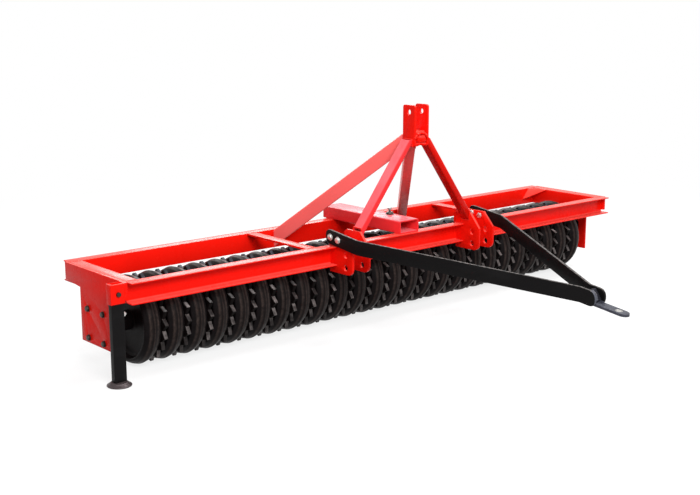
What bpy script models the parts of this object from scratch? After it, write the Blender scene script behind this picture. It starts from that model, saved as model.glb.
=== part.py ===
"""Ring land roller, 3 m working width, for three-point carrying or for towing.

Metres, +Z up.  X runs along the axle, the drawbar points to -Y, and the rings stand on z = 0.
The pieces are laid out round the middle of the frame and hang from one empty, which moves the
whole machine so that the origin lies at the bottom centre of its outline.
"""
import math

import bmesh
import bpy
from mathutils import Matrix, Vector

# Rolling gear: ridged rings on one sleeve, toothed rings between them
RING_RADIUS = 0.206
RING_RIDGE = 0.019
RING_RIM = 0.013
RING_SHOULDER = 0.016
RING_WIDTH = 0.086
RING_WEB = 0.012
SHAFT_RADIUS = 0.025
HUB_WALL = 0.020
STAR_COUNT = 24
STAR_TEETH = 20
STAR_WIDTH = 0.030
STAR_TOOTH_DEPTH = 0.0255
STAR_TIP_INSET = 0.0005
RING_SPACE = 0.003
COLLAR_WALL = 0.011
COLLAR_WIDTH = 0.024
COLLAR_SPACE = 0.033

# Frame: a rectangle of channel sections whose flanges point outwards, open over the rings
RING_ROOM_AHEAD = 0.034
RING_ROOM_ABOVE = 0.031
CHANNEL_HEIGHT = 0.095
FLANGE_WIDTH = 0.060
CHANNEL_WALL = 0.006
CROSS_LEFT_X = 0.610
CROSS_RIGHT_X = 0.705
CROSS_WIDTH = 0.055
CROSS_THICK = 0.010
GUSSET_TOP_REAR = 0.035
GUSSET_TOP_END = 0.118
GUSSET_LOW_REAR = 0.091
GUSSET_DROP = 0.066
GUSSET_THICK = 0.008

# End plates and flange bearings
PLATE_THICK = 0.012
PLATE_END_INSET = 0.035
PLATE_LOWER_HALF = 0.132
PLATE_UPPER_DROP = 0.079
PLATE_TAPER = 0.014
PLATE_MARGIN = 0.008
BEARING_FLANGE = 0.166
BEARING_FLANGE_THICK = 0.016
BEARING_CORNER = 0.022
BEARING_CORNER_STEPS = 2
BEARING_BOLT_INSET = 0.016
BEARING_BOLT_RADIUS = 0.007
BEARING_WALL = 0.031
BEARING_HUB_LENGTH = 0.050

# Lower link plates of the three-point headstock
HITCH_SPACING = 0.876
HITCH_PLATE_PITCH = 0.104
HITCH_PLATE_THICK = 0.012
HITCH_PIN_RADIUS = 0.0145
HITCH_PIN_FORWARD = 0.062
HITCH_PIN_DROPS = (0.033, 0.0955)
HITCH_REACH = 0.112
HITCH_NOSE_DROP = 0.011
HITCH_BOTTOM_DROP = 0.129
HITCH_CORNER = 0.032
HITCH_CORNER_STEPS = 3
HITCH_SHOULDER = 0.046
HITCH_INNER_RISE = 0.065
HITCH_INNER_BACK = 0.072
HITCH_INNER_CUT = (0.020, 0.015)
HITCH_ARM_COVER = 0.0165
HITCH_ARM_LAP = 0.024

# Masts, braces and top link plates
MAST_WIDTH = 0.042
MAST_DEPTH = 0.058
MAST_WALL = 0.004
MAST_HEIGHT = 0.485
MAST_FOOT_INSET = 0.016
MAST_FOOT_RISE = 0.065
MAST_FORWARD = 0.0145
MAST_TOP_X = 0.0543
CLEVIS_PITCH = 0.086
CLEVIS_THICK = 0.012
CLEVIS_DEPTH = 0.084
CLEVIS_FORWARD = 0.022
CLEVIS_LAP = 0.030
CLEVIS_HEIGHT = 0.200
CLEVIS_PIN_DROP = 0.035
CLEVIS_PIN_RADIUS = 0.0128
CLEVIS_CORNER = 0.012
CLEVIS_CORNER_STEPS = 3
CLEVIS_BLOCK_RISE = 0.009
CLEVIS_BLOCK_HEIGHT = 0.061
CLEVIS_BLOCK_DEPTH = 0.070
BRACE_WIDTH = 0.050
BRACE_HEIGHT = 0.089
BRACE_WALL = 0.005
BRACE_TOP_X = 0.040
BRACE_TOP_RISE = 0.028
BRACE_FOOT_SPREAD = 0.033
BRACE_FOOT_DROP = 0.006

# Receiver tube across the frame
RECEIVER_WIDTH = 0.130
RECEIVER_HEIGHT = 0.066
RECEIVER_WALL = 0.006
RECEIVER_SETBACK = 0.017
RECEIVER_OVERHANG = 0.024
RECEIVER_BOLT_SETBACK = 0.200
RECEIVER_BOLT_X = 0.033
RECEIVER_NUT_RADIUS = 0.019
RECEIVER_NUT_HEIGHT = 0.012
RECEIVER_BOLT_REACH = 0.013

# Drawbar
ARM_THICK = 0.012
ARM_HEIGHT = 0.070
ARM_LENGTH = 1.260
ARM_STRAIGHT = 0.226
ARM_NOSE_LENGTH = 0.085
ARM_SLOPE = 0.125
ARM_CORNER = 0.029
ARM_CORNER_STEPS = 3
ARM_BEAM_ROOM = 0.0085
ARM_BOLT_MARGIN = 0.034
DRAWBAR_BOLT_SETBACK = 0.036
DRAWBAR_BOLT_PITCH = 0.056
DRAWBAR_BOLT_RADIUS = 0.008
DRAWBAR_BOLT_END = 0.0015
TOW_WIDTH = 0.056
TOW_THICK = 0.012
TOW_LAP = 0.110
TOW_LENGTH = 0.260
TOW_EYE_SETBACK = 0.050
TOW_EYE_RADIUS = 0.013
TOW_RISE = 0.003
TOW_NOSE_STEPS = 7

# Parking leg
LEG_WIDTH = 0.058
LEG_DEPTH = 0.032
LEG_WALL = 0.004
LEG_TOP_DROP = 0.020
LEG_SETBACK = 0.055
LEG_BOLT_RADIUS = 0.006
SOCKET_WALL = 0.0045
SOCKET_HEIGHT = 0.089
FOOT_RADIUS = 0.0545
FOOT_NECK_RADIUS = 0.036
FOOT_NECK_FLARE = 0.004
FOOT_NECK_HEIGHT = 0.0124
FOOT_EDGE = 0.006
FOOT_EDGE_ROUND = 0.002
FOOT_SOLE_INSET = 0.004
FOOT_HEIGHT = 0.020
STUD_RADIUS = 0.006
STUD_LENGTH = 0.012
STUD_BELOW_SOCKET = 0.048
STUD_FORWARD = 0.007

# Clearances, and the proportions of bolt heads
SEAT_GAP = 0.0003
SLIDE_GAP = 0.0005
BOLT_GAP = 0.0004
SHAFT_END_GAP = 0.0009
CUT_OVERRUN = 0.010
BOLT_HEAD_HEIGHT = 0.010
BOLT_HEAD_RATIO = 1.75

# Facets round each kind of turned shape
RING_STEPS = 16
SHAFT_STEPS = 16
HOLE_STEPS = 12
BOLT_STEPS = 8
FOOT_STEPS = 16
HEXAGON = 6

# Rings and axle, measured out from the axle's middle
AXLE_Z = RING_RADIUS
RING_EDGE_RADIUS = RING_RADIUS - RING_RIDGE
RING_WEB_RADIUS = RING_EDGE_RADIUS - RING_RIM - RING_SHOULDER
HUB_RADIUS = SHAFT_RADIUS + HUB_WALL
COLLAR_RADIUS = SHAFT_RADIUS + COLLAR_WALL
STAR_TIP_RADIUS = RING_RADIUS - STAR_TIP_INSET
STAR_ROOT_RADIUS = STAR_TIP_RADIUS - STAR_TOOTH_DEPTH
RING_PITCH = RING_WIDTH + STAR_WIDTH + 2 * RING_SPACE
RING_COUNT = STAR_COUNT + 1
GANG_HALF = (STAR_COUNT * RING_PITCH + RING_WIDTH) / 2

# The frame closes round the rings, with its bearings at their ends
BEARING_HUB_RADIUS = SHAFT_RADIUS + BEARING_WALL
BEARING_BOLT_REACH = BEARING_FLANGE / 2 - BEARING_BOLT_INSET
HALF_LENGTH = GANG_HALF + COLLAR_WIDTH + COLLAR_SPACE + BEARING_HUB_LENGTH + BEARING_FLANGE_THICK
WEB_INNER_Y = RING_RADIUS + RING_ROOM_AHEAD
HALF_DEPTH = WEB_INNER_Y + FLANGE_WIDTH
FRAME_TOP = AXLE_Z + RING_RADIUS + RING_ROOM_ABOVE + CROSS_THICK
WEB_INNER_X = HALF_LENGTH - FLANGE_WIDTH
PLATE_INNER_X = HALF_LENGTH + SEAT_GAP
PLATE_OUTER_X = PLATE_INNER_X + PLATE_THICK

# Headstock
OUTER_HITCH_X = (HITCH_SPACING + HITCH_PLATE_PITCH) / 2
INNER_HITCH_X = (HITCH_SPACING - HITCH_PLATE_PITCH) / 2
INNER_HITCH_FACE = INNER_HITCH_X - HITCH_PLATE_THICK / 2
MAST_FOOT_X = INNER_HITCH_X - MAST_FOOT_INSET
CLEVIS_Y = -(HALF_DEPTH + CLEVIS_FORWARD)
CLEVIS_BOTTOM = MAST_HEIGHT - CLEVIS_LAP
CLEVIS_TOP = CLEVIS_BOTTOM + CLEVIS_HEIGHT
BRACE_TOP_HEIGHT = MAST_HEIGHT + BRACE_TOP_RISE
BRACE_FOOT_X = HITCH_SPACING / 2 + BRACE_FOOT_SPREAD
RECEIVER_BOLT_Y = -(HALF_DEPTH - RECEIVER_BOLT_SETBACK)

# Drawbar, from its rear bolts to the tip of the tow plate
DRAWBAR_BOLT_Y = (
    -(HALF_DEPTH - DRAWBAR_BOLT_SETBACK), -(HALF_DEPTH - DRAWBAR_BOLT_SETBACK + DRAWBAR_BOLT_PITCH)
)
DRAWBAR_BOLT_HEIGHT = ARM_HEIGHT / 2 + ARM_BEAM_ROOM
ARM_X = OUTER_HITCH_X + HITCH_PLATE_THICK / 2 + SEAT_GAP + ARM_THICK / 2
ARM_NOSE_X = TOW_WIDTH / 2 + SEAT_GAP + ARM_THICK / 2
ARM_REAR_Y = DRAWBAR_BOLT_Y[0] + ARM_BOLT_MARGIN
ARM_BEND_Y = ARM_REAR_Y - ARM_STRAIGHT
ARM_FRONT_Y = ARM_REAR_Y - ARM_LENGTH
ARM_NOSE_Y = ARM_FRONT_Y + ARM_NOSE_LENGTH
TOW_REAR_Y = ARM_FRONT_Y + TOW_LAP
TOW_TIP_Y = TOW_REAR_Y - TOW_LENGTH

# Parking leg, outside the left plate
SOCKET_WIDTH = LEG_WIDTH + 2 * (SLIDE_GAP + SOCKET_WALL)
SOCKET_DEPTH = LEG_DEPTH + 2 * (SLIDE_GAP + SOCKET_WALL)
LEG_X = -(PLATE_OUTER_X + SEAT_GAP + SOCKET_WIDTH / 2)
LEG_Y = -(HALF_DEPTH - LEG_SETBACK)

LEFT_EDGE = LEG_X - FOOT_RADIUS
RIGHT_EDGE = PLATE_OUTER_X + SEAT_GAP + BOLT_HEAD_HEIGHT
REAR_EDGE = HALF_DEPTH + RECEIVER_OVERHANG
ORIGIN_SHIFT = Vector((-(LEFT_EDGE + RIGHT_EDGE) / 2, -(REAR_EDGE + TOW_TIP_Y) / 2, 0))

for stale in list(bpy.data.objects):
    bpy.data.objects.remove(stale, do_unlink=True)

machine = bpy.data.collections.new("towed_land_roller")
cutters = bpy.data.collections.new("cutters")
for group in (machine, cutters):
    bpy.context.scene.collection.children.link(group)

root = bpy.data.objects.new("machine_origin", None)
root.location = ORIGIN_SHIFT
machine.objects.link(root)


def material(name, colour, roughness, metallic):
    """A Principled material of one colour."""
    made = bpy.data.materials.new(name)
    made.use_nodes = True
    shader = made.node_tree.nodes["Principled BSDF"]
    shader.inputs["Base Color"].default_value = (*colour, 1)
    shader.inputs["Roughness"].default_value = roughness
    shader.inputs["Metallic"].default_value = metallic
    return made


RED = material("red_paint", (0.72, 0.012, 0.008), 0.32, 0.0)
BLACK = material("black_paint", (0.012, 0.012, 0.014), 0.38, 0.0)
IRON = material("dark_cast_iron", (0.030, 0.026, 0.027), 0.55, 0.6)
ZINC = material("zinc_plate", (0.55, 0.55, 0.53), 0.35, 1.0)
DARK_STEEL = material("blackened_steel", (0.045, 0.042, 0.040), 0.45, 0.8)
GREY_STEEL = material("grey_steel", (0.30, 0.31, 0.33), 0.45, 0.7)


def add(name, mesh, finish):
    """Link a mesh as a named piece of the machine."""
    piece = bpy.data.objects.new(name, mesh)
    piece.data.materials.clear()
    piece.data.materials.append(finish)
    machine.objects.link(piece)
    piece.parent = root
    return piece


def circle(radius, count, centre=(0.0, 0.0)):
    """Points of a regular polygon in a plane."""
    points = []
    for index in range(count):
        angle = 2 * math.pi * index / count
        points.append((centre[0] + radius * math.cos(angle), centre[1] + radius * math.sin(angle)))
    return points


def bore(radius, count, gap):
    """Radius of a hole whose flats clear a round piece by a gap, however the piece is turned."""
    return radius / math.cos(math.pi / count) + gap


def arc(centre, radius, first, last, count):
    """Points along an arc, angles in degrees."""
    points = []
    for index in range(count + 1):
        angle = math.radians(first + (last - first) * index / count)
        points.append((centre[0] + radius * math.cos(angle), centre[1] + radius * math.sin(angle)))
    return points


def rectangle(width, height, centre=(0.0, 0.0)):
    """The four corners of a rectangle."""
    corners = ((-1, -1), (1, -1), (1, 1), (-1, 1))
    return [(centre[0] + u * width / 2, centre[1] + v * height / 2) for u, v in corners]


# Where an outline's own axes point once it stands in the machine
PLANES = {
    "YZ": Matrix(((0, 0, 1), (1, 0, 0), (0, 1, 0))),
    "XZ": Matrix(((1, 0, 0), (0, 0, -1), (0, 1, 0))),
    "XY": Matrix.Identity(3),
}


def outline(name, loops, thickness, plane="XY", middle=(0, 0, 0)):
    """A flat outline with holes, extruded to a thickness; returns its closed mesh."""
    curve = bpy.data.curves.new(name + "_outline", "CURVE")
    curve.dimensions = "2D"
    curve.fill_mode = "BOTH"
    curve.extrude = thickness / 2
    for loop in loops:
        spline = curve.splines.new("POLY")
        spline.points.add(len(loop) - 1)
        for point, (u, v) in zip(spline.points, loop):
            point.co = (u, v, 0, 1)
        spline.use_cyclic_u = True
    holder = bpy.data.objects.new(name + "_outline", curve)
    cutters.objects.link(holder)
    bpy.context.view_layer.update()
    graph = bpy.context.evaluated_depsgraph_get()
    mesh = bpy.data.meshes.new_from_object(holder.evaluated_get(graph))
    bpy.data.objects.remove(holder, do_unlink=True)
    mesh.name = name
    move = Matrix.Translation(middle) @ PLANES[plane].to_4x4()
    return tidy(mesh, move)


def tidy(mesh, move=None):
    """Weld a mesh's seams and turn its faces outwards."""
    work = bmesh.new()
    work.from_mesh(mesh)
    if move is not None:
        bmesh.ops.transform(work, matrix=move, verts=work.verts)
    bmesh.ops.remove_doubles(work, verts=work.verts, dist=0.00002)
    bmesh.ops.recalc_face_normals(work, faces=work.faces)
    work.to_mesh(mesh)
    work.free()
    return mesh


def shear(mesh, run, rise, along):
    """Lean a mesh: points move by run and rise for each metre along the given axis."""
    for vertex in mesh.vertices:
        distance = vertex.co[along]
        vertex.co[run[0]] += run[1] * distance
        vertex.co[rise[0]] += rise[1] * distance
    return mesh


def shifted(mesh, offset):
    """Move a mesh's points."""
    mesh.transform(Matrix.Translation(offset))
    return mesh


def turned(name, profile, steps, axis="X", middle=(0, 0, 0)):
    """A closed profile of (radius, height) pairs, swept once round an axis."""
    mesh = bpy.data.meshes.new(name + "_profile")
    count = len(profile)
    edges = [(index, (index + 1) % count) for index in range(count)]
    mesh.from_pydata([(radius, 0, height) for radius, height in profile], edges, [])
    holder = bpy.data.objects.new(name + "_profile", mesh)
    cutters.objects.link(holder)
    screw = holder.modifiers.new("sweep", "SCREW")
    screw.axis = "Z"
    screw.steps = steps
    screw.render_steps = steps
    screw.use_merge_vertices = True
    screw.merge_threshold = 0.00002
    bpy.context.view_layer.update()
    graph = bpy.context.evaluated_depsgraph_get()
    made = bpy.data.meshes.new_from_object(holder.evaluated_get(graph))
    bpy.data.objects.remove(holder, do_unlink=True)
    made.name = name
    turn = {"X": Matrix.Rotation(math.pi / 2, 4, "Y"), "Z": Matrix.Identity(4)}[axis]
    return tidy(made, Matrix.Translation(middle) @ turn)


def rod(name, radius, start, end, steps, axis):
    """A round or hexagonal bar along X, Y or Z, from start to end on its axis."""
    work = bmesh.new()
    length = (Vector(end) - Vector(start)).length
    bmesh.ops.create_cone(
        work, cap_ends=True, segments=steps, radius1=radius, radius2=radius, depth=length
    )
    turn = {
        "X": Matrix.Rotation(math.pi / 2, 4, "Y"),
        "Y": Matrix.Rotation(math.pi / 2, 4, "X"),
        "Z": Matrix.Identity(4),
    }[axis]
    middle = (Vector(start) + Vector(end)) / 2
    bmesh.ops.transform(work, matrix=Matrix.Translation(middle) @ turn, verts=work.verts)
    mesh = bpy.data.meshes.new(name)
    work.to_mesh(mesh)
    work.free()
    return mesh


def box(name, low, high):
    """A block between two corners."""
    work = bmesh.new()
    bmesh.ops.create_cube(work, size=1)
    low, high = Vector(low), Vector(high)
    size = Matrix.Diagonal((*(high - low), 1))
    bmesh.ops.transform(work, matrix=Matrix.Translation((low + high) / 2) @ size, verts=work.verts)
    mesh = bpy.data.meshes.new(name)
    work.to_mesh(mesh)
    work.free()
    return mesh


def slab(name, corners, thickness):
    """A flat plate on any plane, from the corners of its middle surface."""
    corners = [Vector(corner) for corner in corners]
    half = (corners[1] - corners[0]).cross(corners[2] - corners[0]).normalized() * thickness / 2
    count = len(corners)
    points = [corner - half for corner in corners] + [corner + half for corner in corners]
    faces = [tuple(range(count)), tuple(range(count, 2 * count))]
    for index in range(count):
        after = (index + 1) % count
        faces.append((index, after, after + count, index + count))
    mesh = bpy.data.meshes.new(name)
    mesh.from_pydata(points, [], faces)
    return tidy(mesh)


def combine(mesh, others, operation):
    """Cut other meshes from a mesh, or weld them to it."""
    holder = bpy.data.objects.new(mesh.name, mesh)
    cutters.objects.link(holder)
    helpers = []
    for index, other in enumerate(others):
        helper = bpy.data.objects.new(f"{mesh.name}_{operation.lower()}_{index}", other)
        helper.hide_render = True
        helper.display_type = "WIRE"
        cutters.objects.link(helper)
        helpers.append(helper)
        step = holder.modifiers.new(f"{operation.lower()}_{index}", "BOOLEAN")
        step.operation = operation
        step.solver = "EXACT"
        step.object = helper
    bpy.context.view_layer.update()
    graph = bpy.context.evaluated_depsgraph_get()
    made = bpy.data.meshes.new_from_object(holder.evaluated_get(graph))
    made.name = mesh.name
    for helper in (holder, *helpers):
        bpy.data.objects.remove(helper, do_unlink=True)
    return tidy(made)


def smooth(piece, degrees=30):
    """Shade the round faces of a turned piece smooth."""
    piece.data.shade_smooth()
    piece.data.set_sharp_from_angle(angle=math.radians(degrees))
    return piece


def channel(length, plane, outward, middle):
    """A channel section: its web stands inside and its flanges point outwards."""
    wall = CHANNEL_WALL
    half = CHANNEL_HEIGHT / 2
    tip = outward * FLANGE_WIDTH
    face = outward * wall
    section = [
        (0, -half), (tip, -half), (tip, -half + wall), (face, -half + wall),
        (face, half - wall), (tip, half - wall), (tip, half), (0, half),
    ]
    return outline("channel", [section], length, plane, middle)


def build_frame():
    """Front and rear beams, end channels, cross members and the corner gusset."""
    middle_z = FRAME_TOP - CHANNEL_HEIGHT / 2
    for name, side in (("front_beam", -1), ("rear_beam", 1)):
        mesh = channel(2 * HALF_LENGTH, "YZ", side, (0, side * WEB_INNER_Y, middle_z))
        add(name, mesh, RED)
    clear_depth = 2 * (WEB_INNER_Y - SEAT_GAP)
    for name, side in (("end_channel_left", -1), ("end_channel_right", 1)):
        mesh = channel(clear_depth, "XZ", side, (side * WEB_INNER_X, 0, middle_z))
        add(name, mesh, RED)
    half = CROSS_WIDTH / 2
    for name, x in (("cross_member_left", -CROSS_LEFT_X), ("cross_member_right", CROSS_RIGHT_X)):
        low = (x - half, -clear_depth / 2, FRAME_TOP - CROSS_THICK)
        high = (x + half, clear_depth / 2, FRAME_TOP)
        add(name, box(name, low, high), RED)
    at_rear = Vector((WEB_INNER_X - GUSSET_TOP_REAR, WEB_INNER_Y, FRAME_TOP))
    at_end = Vector((WEB_INNER_X, WEB_INNER_Y - GUSSET_TOP_END, FRAME_TOP))
    low = Vector((WEB_INNER_X - GUSSET_LOW_REAR, WEB_INNER_Y, FRAME_TOP - GUSSET_DROP))
    free_edge = at_end - low
    oversize = [
        2 * at_rear - (at_end + low) / 2, at_end + free_edge / 3, low - free_edge / 3
    ]
    corner = box(
        "corner", (0, 0, 0), (WEB_INNER_X - SEAT_GAP, WEB_INNER_Y - SEAT_GAP, FRAME_TOP)
    )
    mesh = combine(slab("corner_gusset", oversize, GUSSET_THICK), [corner], "INTERSECT")
    add("corner_gusset", mesh, RED)


def bearing_bolt_places():
    """Bolt centres round the axle, as (y, z)."""
    corners = ((-1, -1), (1, -1), (1, 1), (-1, 1))
    return [(u * BEARING_BOLT_REACH, AXLE_Z + v * BEARING_BOLT_REACH) for u, v in corners]


def build_ends():
    """Side plates with their bolted flange bearings."""
    shoulder = FRAME_TOP - PLATE_UPPER_DROP
    waist = shoulder - PLATE_TAPER
    bottom = AXLE_Z - BEARING_FLANGE / 2 - PLATE_MARGIN
    upper_half = HALF_DEPTH - PLATE_END_INSET
    edge = [
        (-upper_half, FRAME_TOP), (-upper_half, shoulder),
        (-PLATE_LOWER_HALF, waist), (-PLATE_LOWER_HALF, bottom),
        (PLATE_LOWER_HALF, bottom), (PLATE_LOWER_HALF, waist),
        (upper_half, shoulder), (upper_half, FRAME_TOP),
    ]
    holes = [
        circle(bore(BEARING_BOLT_RADIUS, BOLT_STEPS, BOLT_GAP), BOLT_STEPS, place)
        for place in bearing_bolt_places()
    ]
    corner = BEARING_FLANGE / 2 - BEARING_CORNER
    flange = []
    for u, v, first in ((1, 1, 0), (-1, 1, 90), (-1, -1, 180), (1, -1, 270)):
        middle = (u * corner, AXLE_Z + v * corner)
        flange += arc(middle, BEARING_CORNER, first, first + 90, BEARING_CORNER_STEPS)
    shaft_bore = bore(SHAFT_RADIUS, SHAFT_STEPS, SLIDE_GAP)
    for side_name, side in (("left", -1), ("right", 1)):
        plate_x = side * (PLATE_INNER_X + PLATE_THICK / 2)
        name = f"side_plate_{side_name}"
        add(name, outline(name, [edge, *holes], PLATE_THICK, "YZ", (plate_x, 0, 0)), RED)

        name = f"bearing_housing_{side_name}"
        face_x = PLATE_INNER_X - SEAT_GAP
        flange_x = side * (face_x - BEARING_FLANGE_THICK / 2)
        body = outline(name, [flange], BEARING_FLANGE_THICK, "YZ", (flange_x, 0, 0))
        hub_start = face_x - BEARING_FLANGE_THICK / 2
        hub_end = face_x - BEARING_FLANGE_THICK - BEARING_HUB_LENGTH
        hub = rod(
            "hub", BEARING_HUB_RADIUS, (side * hub_start, 0, AXLE_Z), (side * hub_end, 0, AXLE_Z),
            RING_STEPS, "X",
        )
        bolts = []
        for y, z in bearing_bolt_places():
            head_start = PLATE_OUTER_X + SEAT_GAP
            head_end = head_start + BOLT_HEAD_HEIGHT
            root_x = face_x - BEARING_FLANGE_THICK / 2
            shank_end = head_start + BOLT_HEAD_HEIGHT / 2
            bolts.append(rod(
                "shank", BEARING_BOLT_RADIUS, (side * root_x, y, z), (side * shank_end, y, z),
                BOLT_STEPS, "X",
            ))
            bolts.append(rod(
                "head", BEARING_BOLT_RADIUS * BOLT_HEAD_RATIO, (side * head_start, y, z),
                (side * head_end, y, z), HEXAGON, "X",
            ))
        body = combine(body, [hub, *bolts], "UNION")
        through = rod(
            "bore", shaft_bore, (side * (hub_end - CUT_OVERRUN), 0, AXLE_Z),
            (side * (face_x + CUT_OVERRUN), 0, AXLE_Z), SHAFT_STEPS, "X",
        )
        add(name, combine(body, [through], "DIFFERENCE"), DARK_STEEL)


def build_axle():
    """The through shaft with its two lock collars."""
    end = PLATE_INNER_X - SHAFT_END_GAP
    collar_in = GANG_HALF + SEAT_GAP
    collar_out = collar_in + COLLAR_WIDTH
    half = [
        (0, end), (SHAFT_RADIUS, end), (SHAFT_RADIUS, collar_out), (COLLAR_RADIUS, collar_out),
        (COLLAR_RADIUS, collar_in), (SHAFT_RADIUS, collar_in),
    ]
    profile = half + [(radius, -height) for radius, height in reversed(half)]
    piece = add("axle_shaft", turned("axle_shaft", profile, SHAFT_STEPS), GREY_STEEL)
    piece.location = (0, 0, AXLE_Z)
    smooth(piece)


def ring_section(centre, left_end, right_end):
    """Outer side of one ridged ring, from its left to its right, as (radius, height).

    The crown's flats, not its corners, lie on the true radius, so that the gang rolls flat to flat.
    """
    half = RING_WIDTH / 2
    rim = RING_EDGE_RADIUS - RING_RIM
    web = RING_WEB / 2
    left = [(HUB_RADIUS, -web), (RING_WEB_RADIUS, -web)]
    right = [(RING_WEB_RADIUS, web), (HUB_RADIUS, web)]
    if left_end:
        left.append((rim, -half))
    if right_end:
        right.insert(0, (rim, half))
    over = 1 / math.cos(math.pi / RING_STEPS)
    edge = RING_EDGE_RADIUS * over
    crown = [(edge, -half), (RING_RADIUS * over, 0), (edge, half)]
    return [(radius, centre + height) for radius, height in left + crown + right]


def build_rings():
    """The gang of ridged rings on its hub sleeve, and the toothed rings between them."""
    profile = []
    for index in range(RING_COUNT):
        centre = (index - (RING_COUNT - 1) / 2) * RING_PITCH
        profile += ring_section(centre, index == 0, index == RING_COUNT - 1)
    sleeve_bore = bore(SHAFT_RADIUS, RING_STEPS, SLIDE_GAP)
    profile = [(sleeve_bore, -GANG_HALF), (HUB_RADIUS, -GANG_HALF)] + profile
    profile += [(HUB_RADIUS, GANG_HALF), (sleeve_bore, GANG_HALF)]
    profile.reverse()
    piece = add("ring_gang", turned("ring_gang", profile, RING_STEPS), IRON)
    piece.location = (0, 0, AXLE_Z)
    piece.rotation_euler = (math.pi / RING_STEPS, 0, 0)
    smooth(piece, 20)

    teeth = []
    for index in range(STAR_TEETH):
        step = 2 * math.pi / STAR_TEETH
        for radius, angle in ((STAR_TIP_RADIUS, index * step), (STAR_ROOT_RADIUS, (index + 0.5) * step)):
            teeth.append((radius * math.cos(angle), radius * math.sin(angle)))
    loops = [teeth, circle(bore(HUB_RADIUS, HOLE_STEPS, SLIDE_GAP), HOLE_STEPS)]
    for index in range(STAR_COUNT):
        name = f"star_ring_{index + 1:02d}"
        centre = (index - (STAR_COUNT - 1) / 2) * RING_PITCH
        piece = add(name, outline(name, loops, STAR_WIDTH, "YZ"), IRON)
        piece.location = (centre, 0, AXLE_Z)


def hitch_outline(outer):
    """Edge of a lower link plate, as (y, z): slotted round the front beam's flanges to its web."""
    tip = -HALF_DEPTH
    web = -(WEB_INNER_Y + CHANNEL_WALL + SEAT_GAP)
    bottom = FRAME_TOP - HITCH_BOTTOM_DROP
    nose = tip - HITCH_REACH
    edge = [(nose, FRAME_TOP - HITCH_NOSE_DROP)]
    middle = (nose + HITCH_CORNER, bottom + HITCH_CORNER)
    edge += arc(middle, HITCH_CORNER, 180, 270, HITCH_CORNER_STEPS)
    edge.append((web, bottom))
    for flange_top in (FRAME_TOP - CHANNEL_HEIGHT + CHANNEL_WALL, FRAME_TOP):
        low = flange_top - CHANNEL_WALL - SEAT_GAP
        high = flange_top + SEAT_GAP
        edge += [(web, low), (tip - SEAT_GAP, low), (tip - SEAT_GAP, high)]
        if flange_top < FRAME_TOP:
            edge.append((web, high))
    if outer:
        back = DRAWBAR_BOLT_Y[0] + HITCH_ARM_LAP
        top = FRAME_TOP + DRAWBAR_BOLT_HEIGHT + HITCH_ARM_COVER
        edge += [(back, FRAME_TOP + SEAT_GAP), (back, top)]
    else:
        back = tip + HITCH_INNER_BACK
        top = FRAME_TOP + HITCH_INNER_RISE
        edge += [
            (back, FRAME_TOP + SEAT_GAP), (back, top - HITCH_INNER_CUT[1]),
            (back - HITCH_INNER_CUT[0], top),
        ]
    edge.append((tip - HITCH_SHOULDER, top))
    return edge


def arm_height_at(y):
    """Middle height of the drawbar arms at a place along them."""
    return FRAME_TOP + DRAWBAR_BOLT_HEIGHT + ARM_SLOPE * (y - DRAWBAR_BOLT_Y[0])


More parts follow.
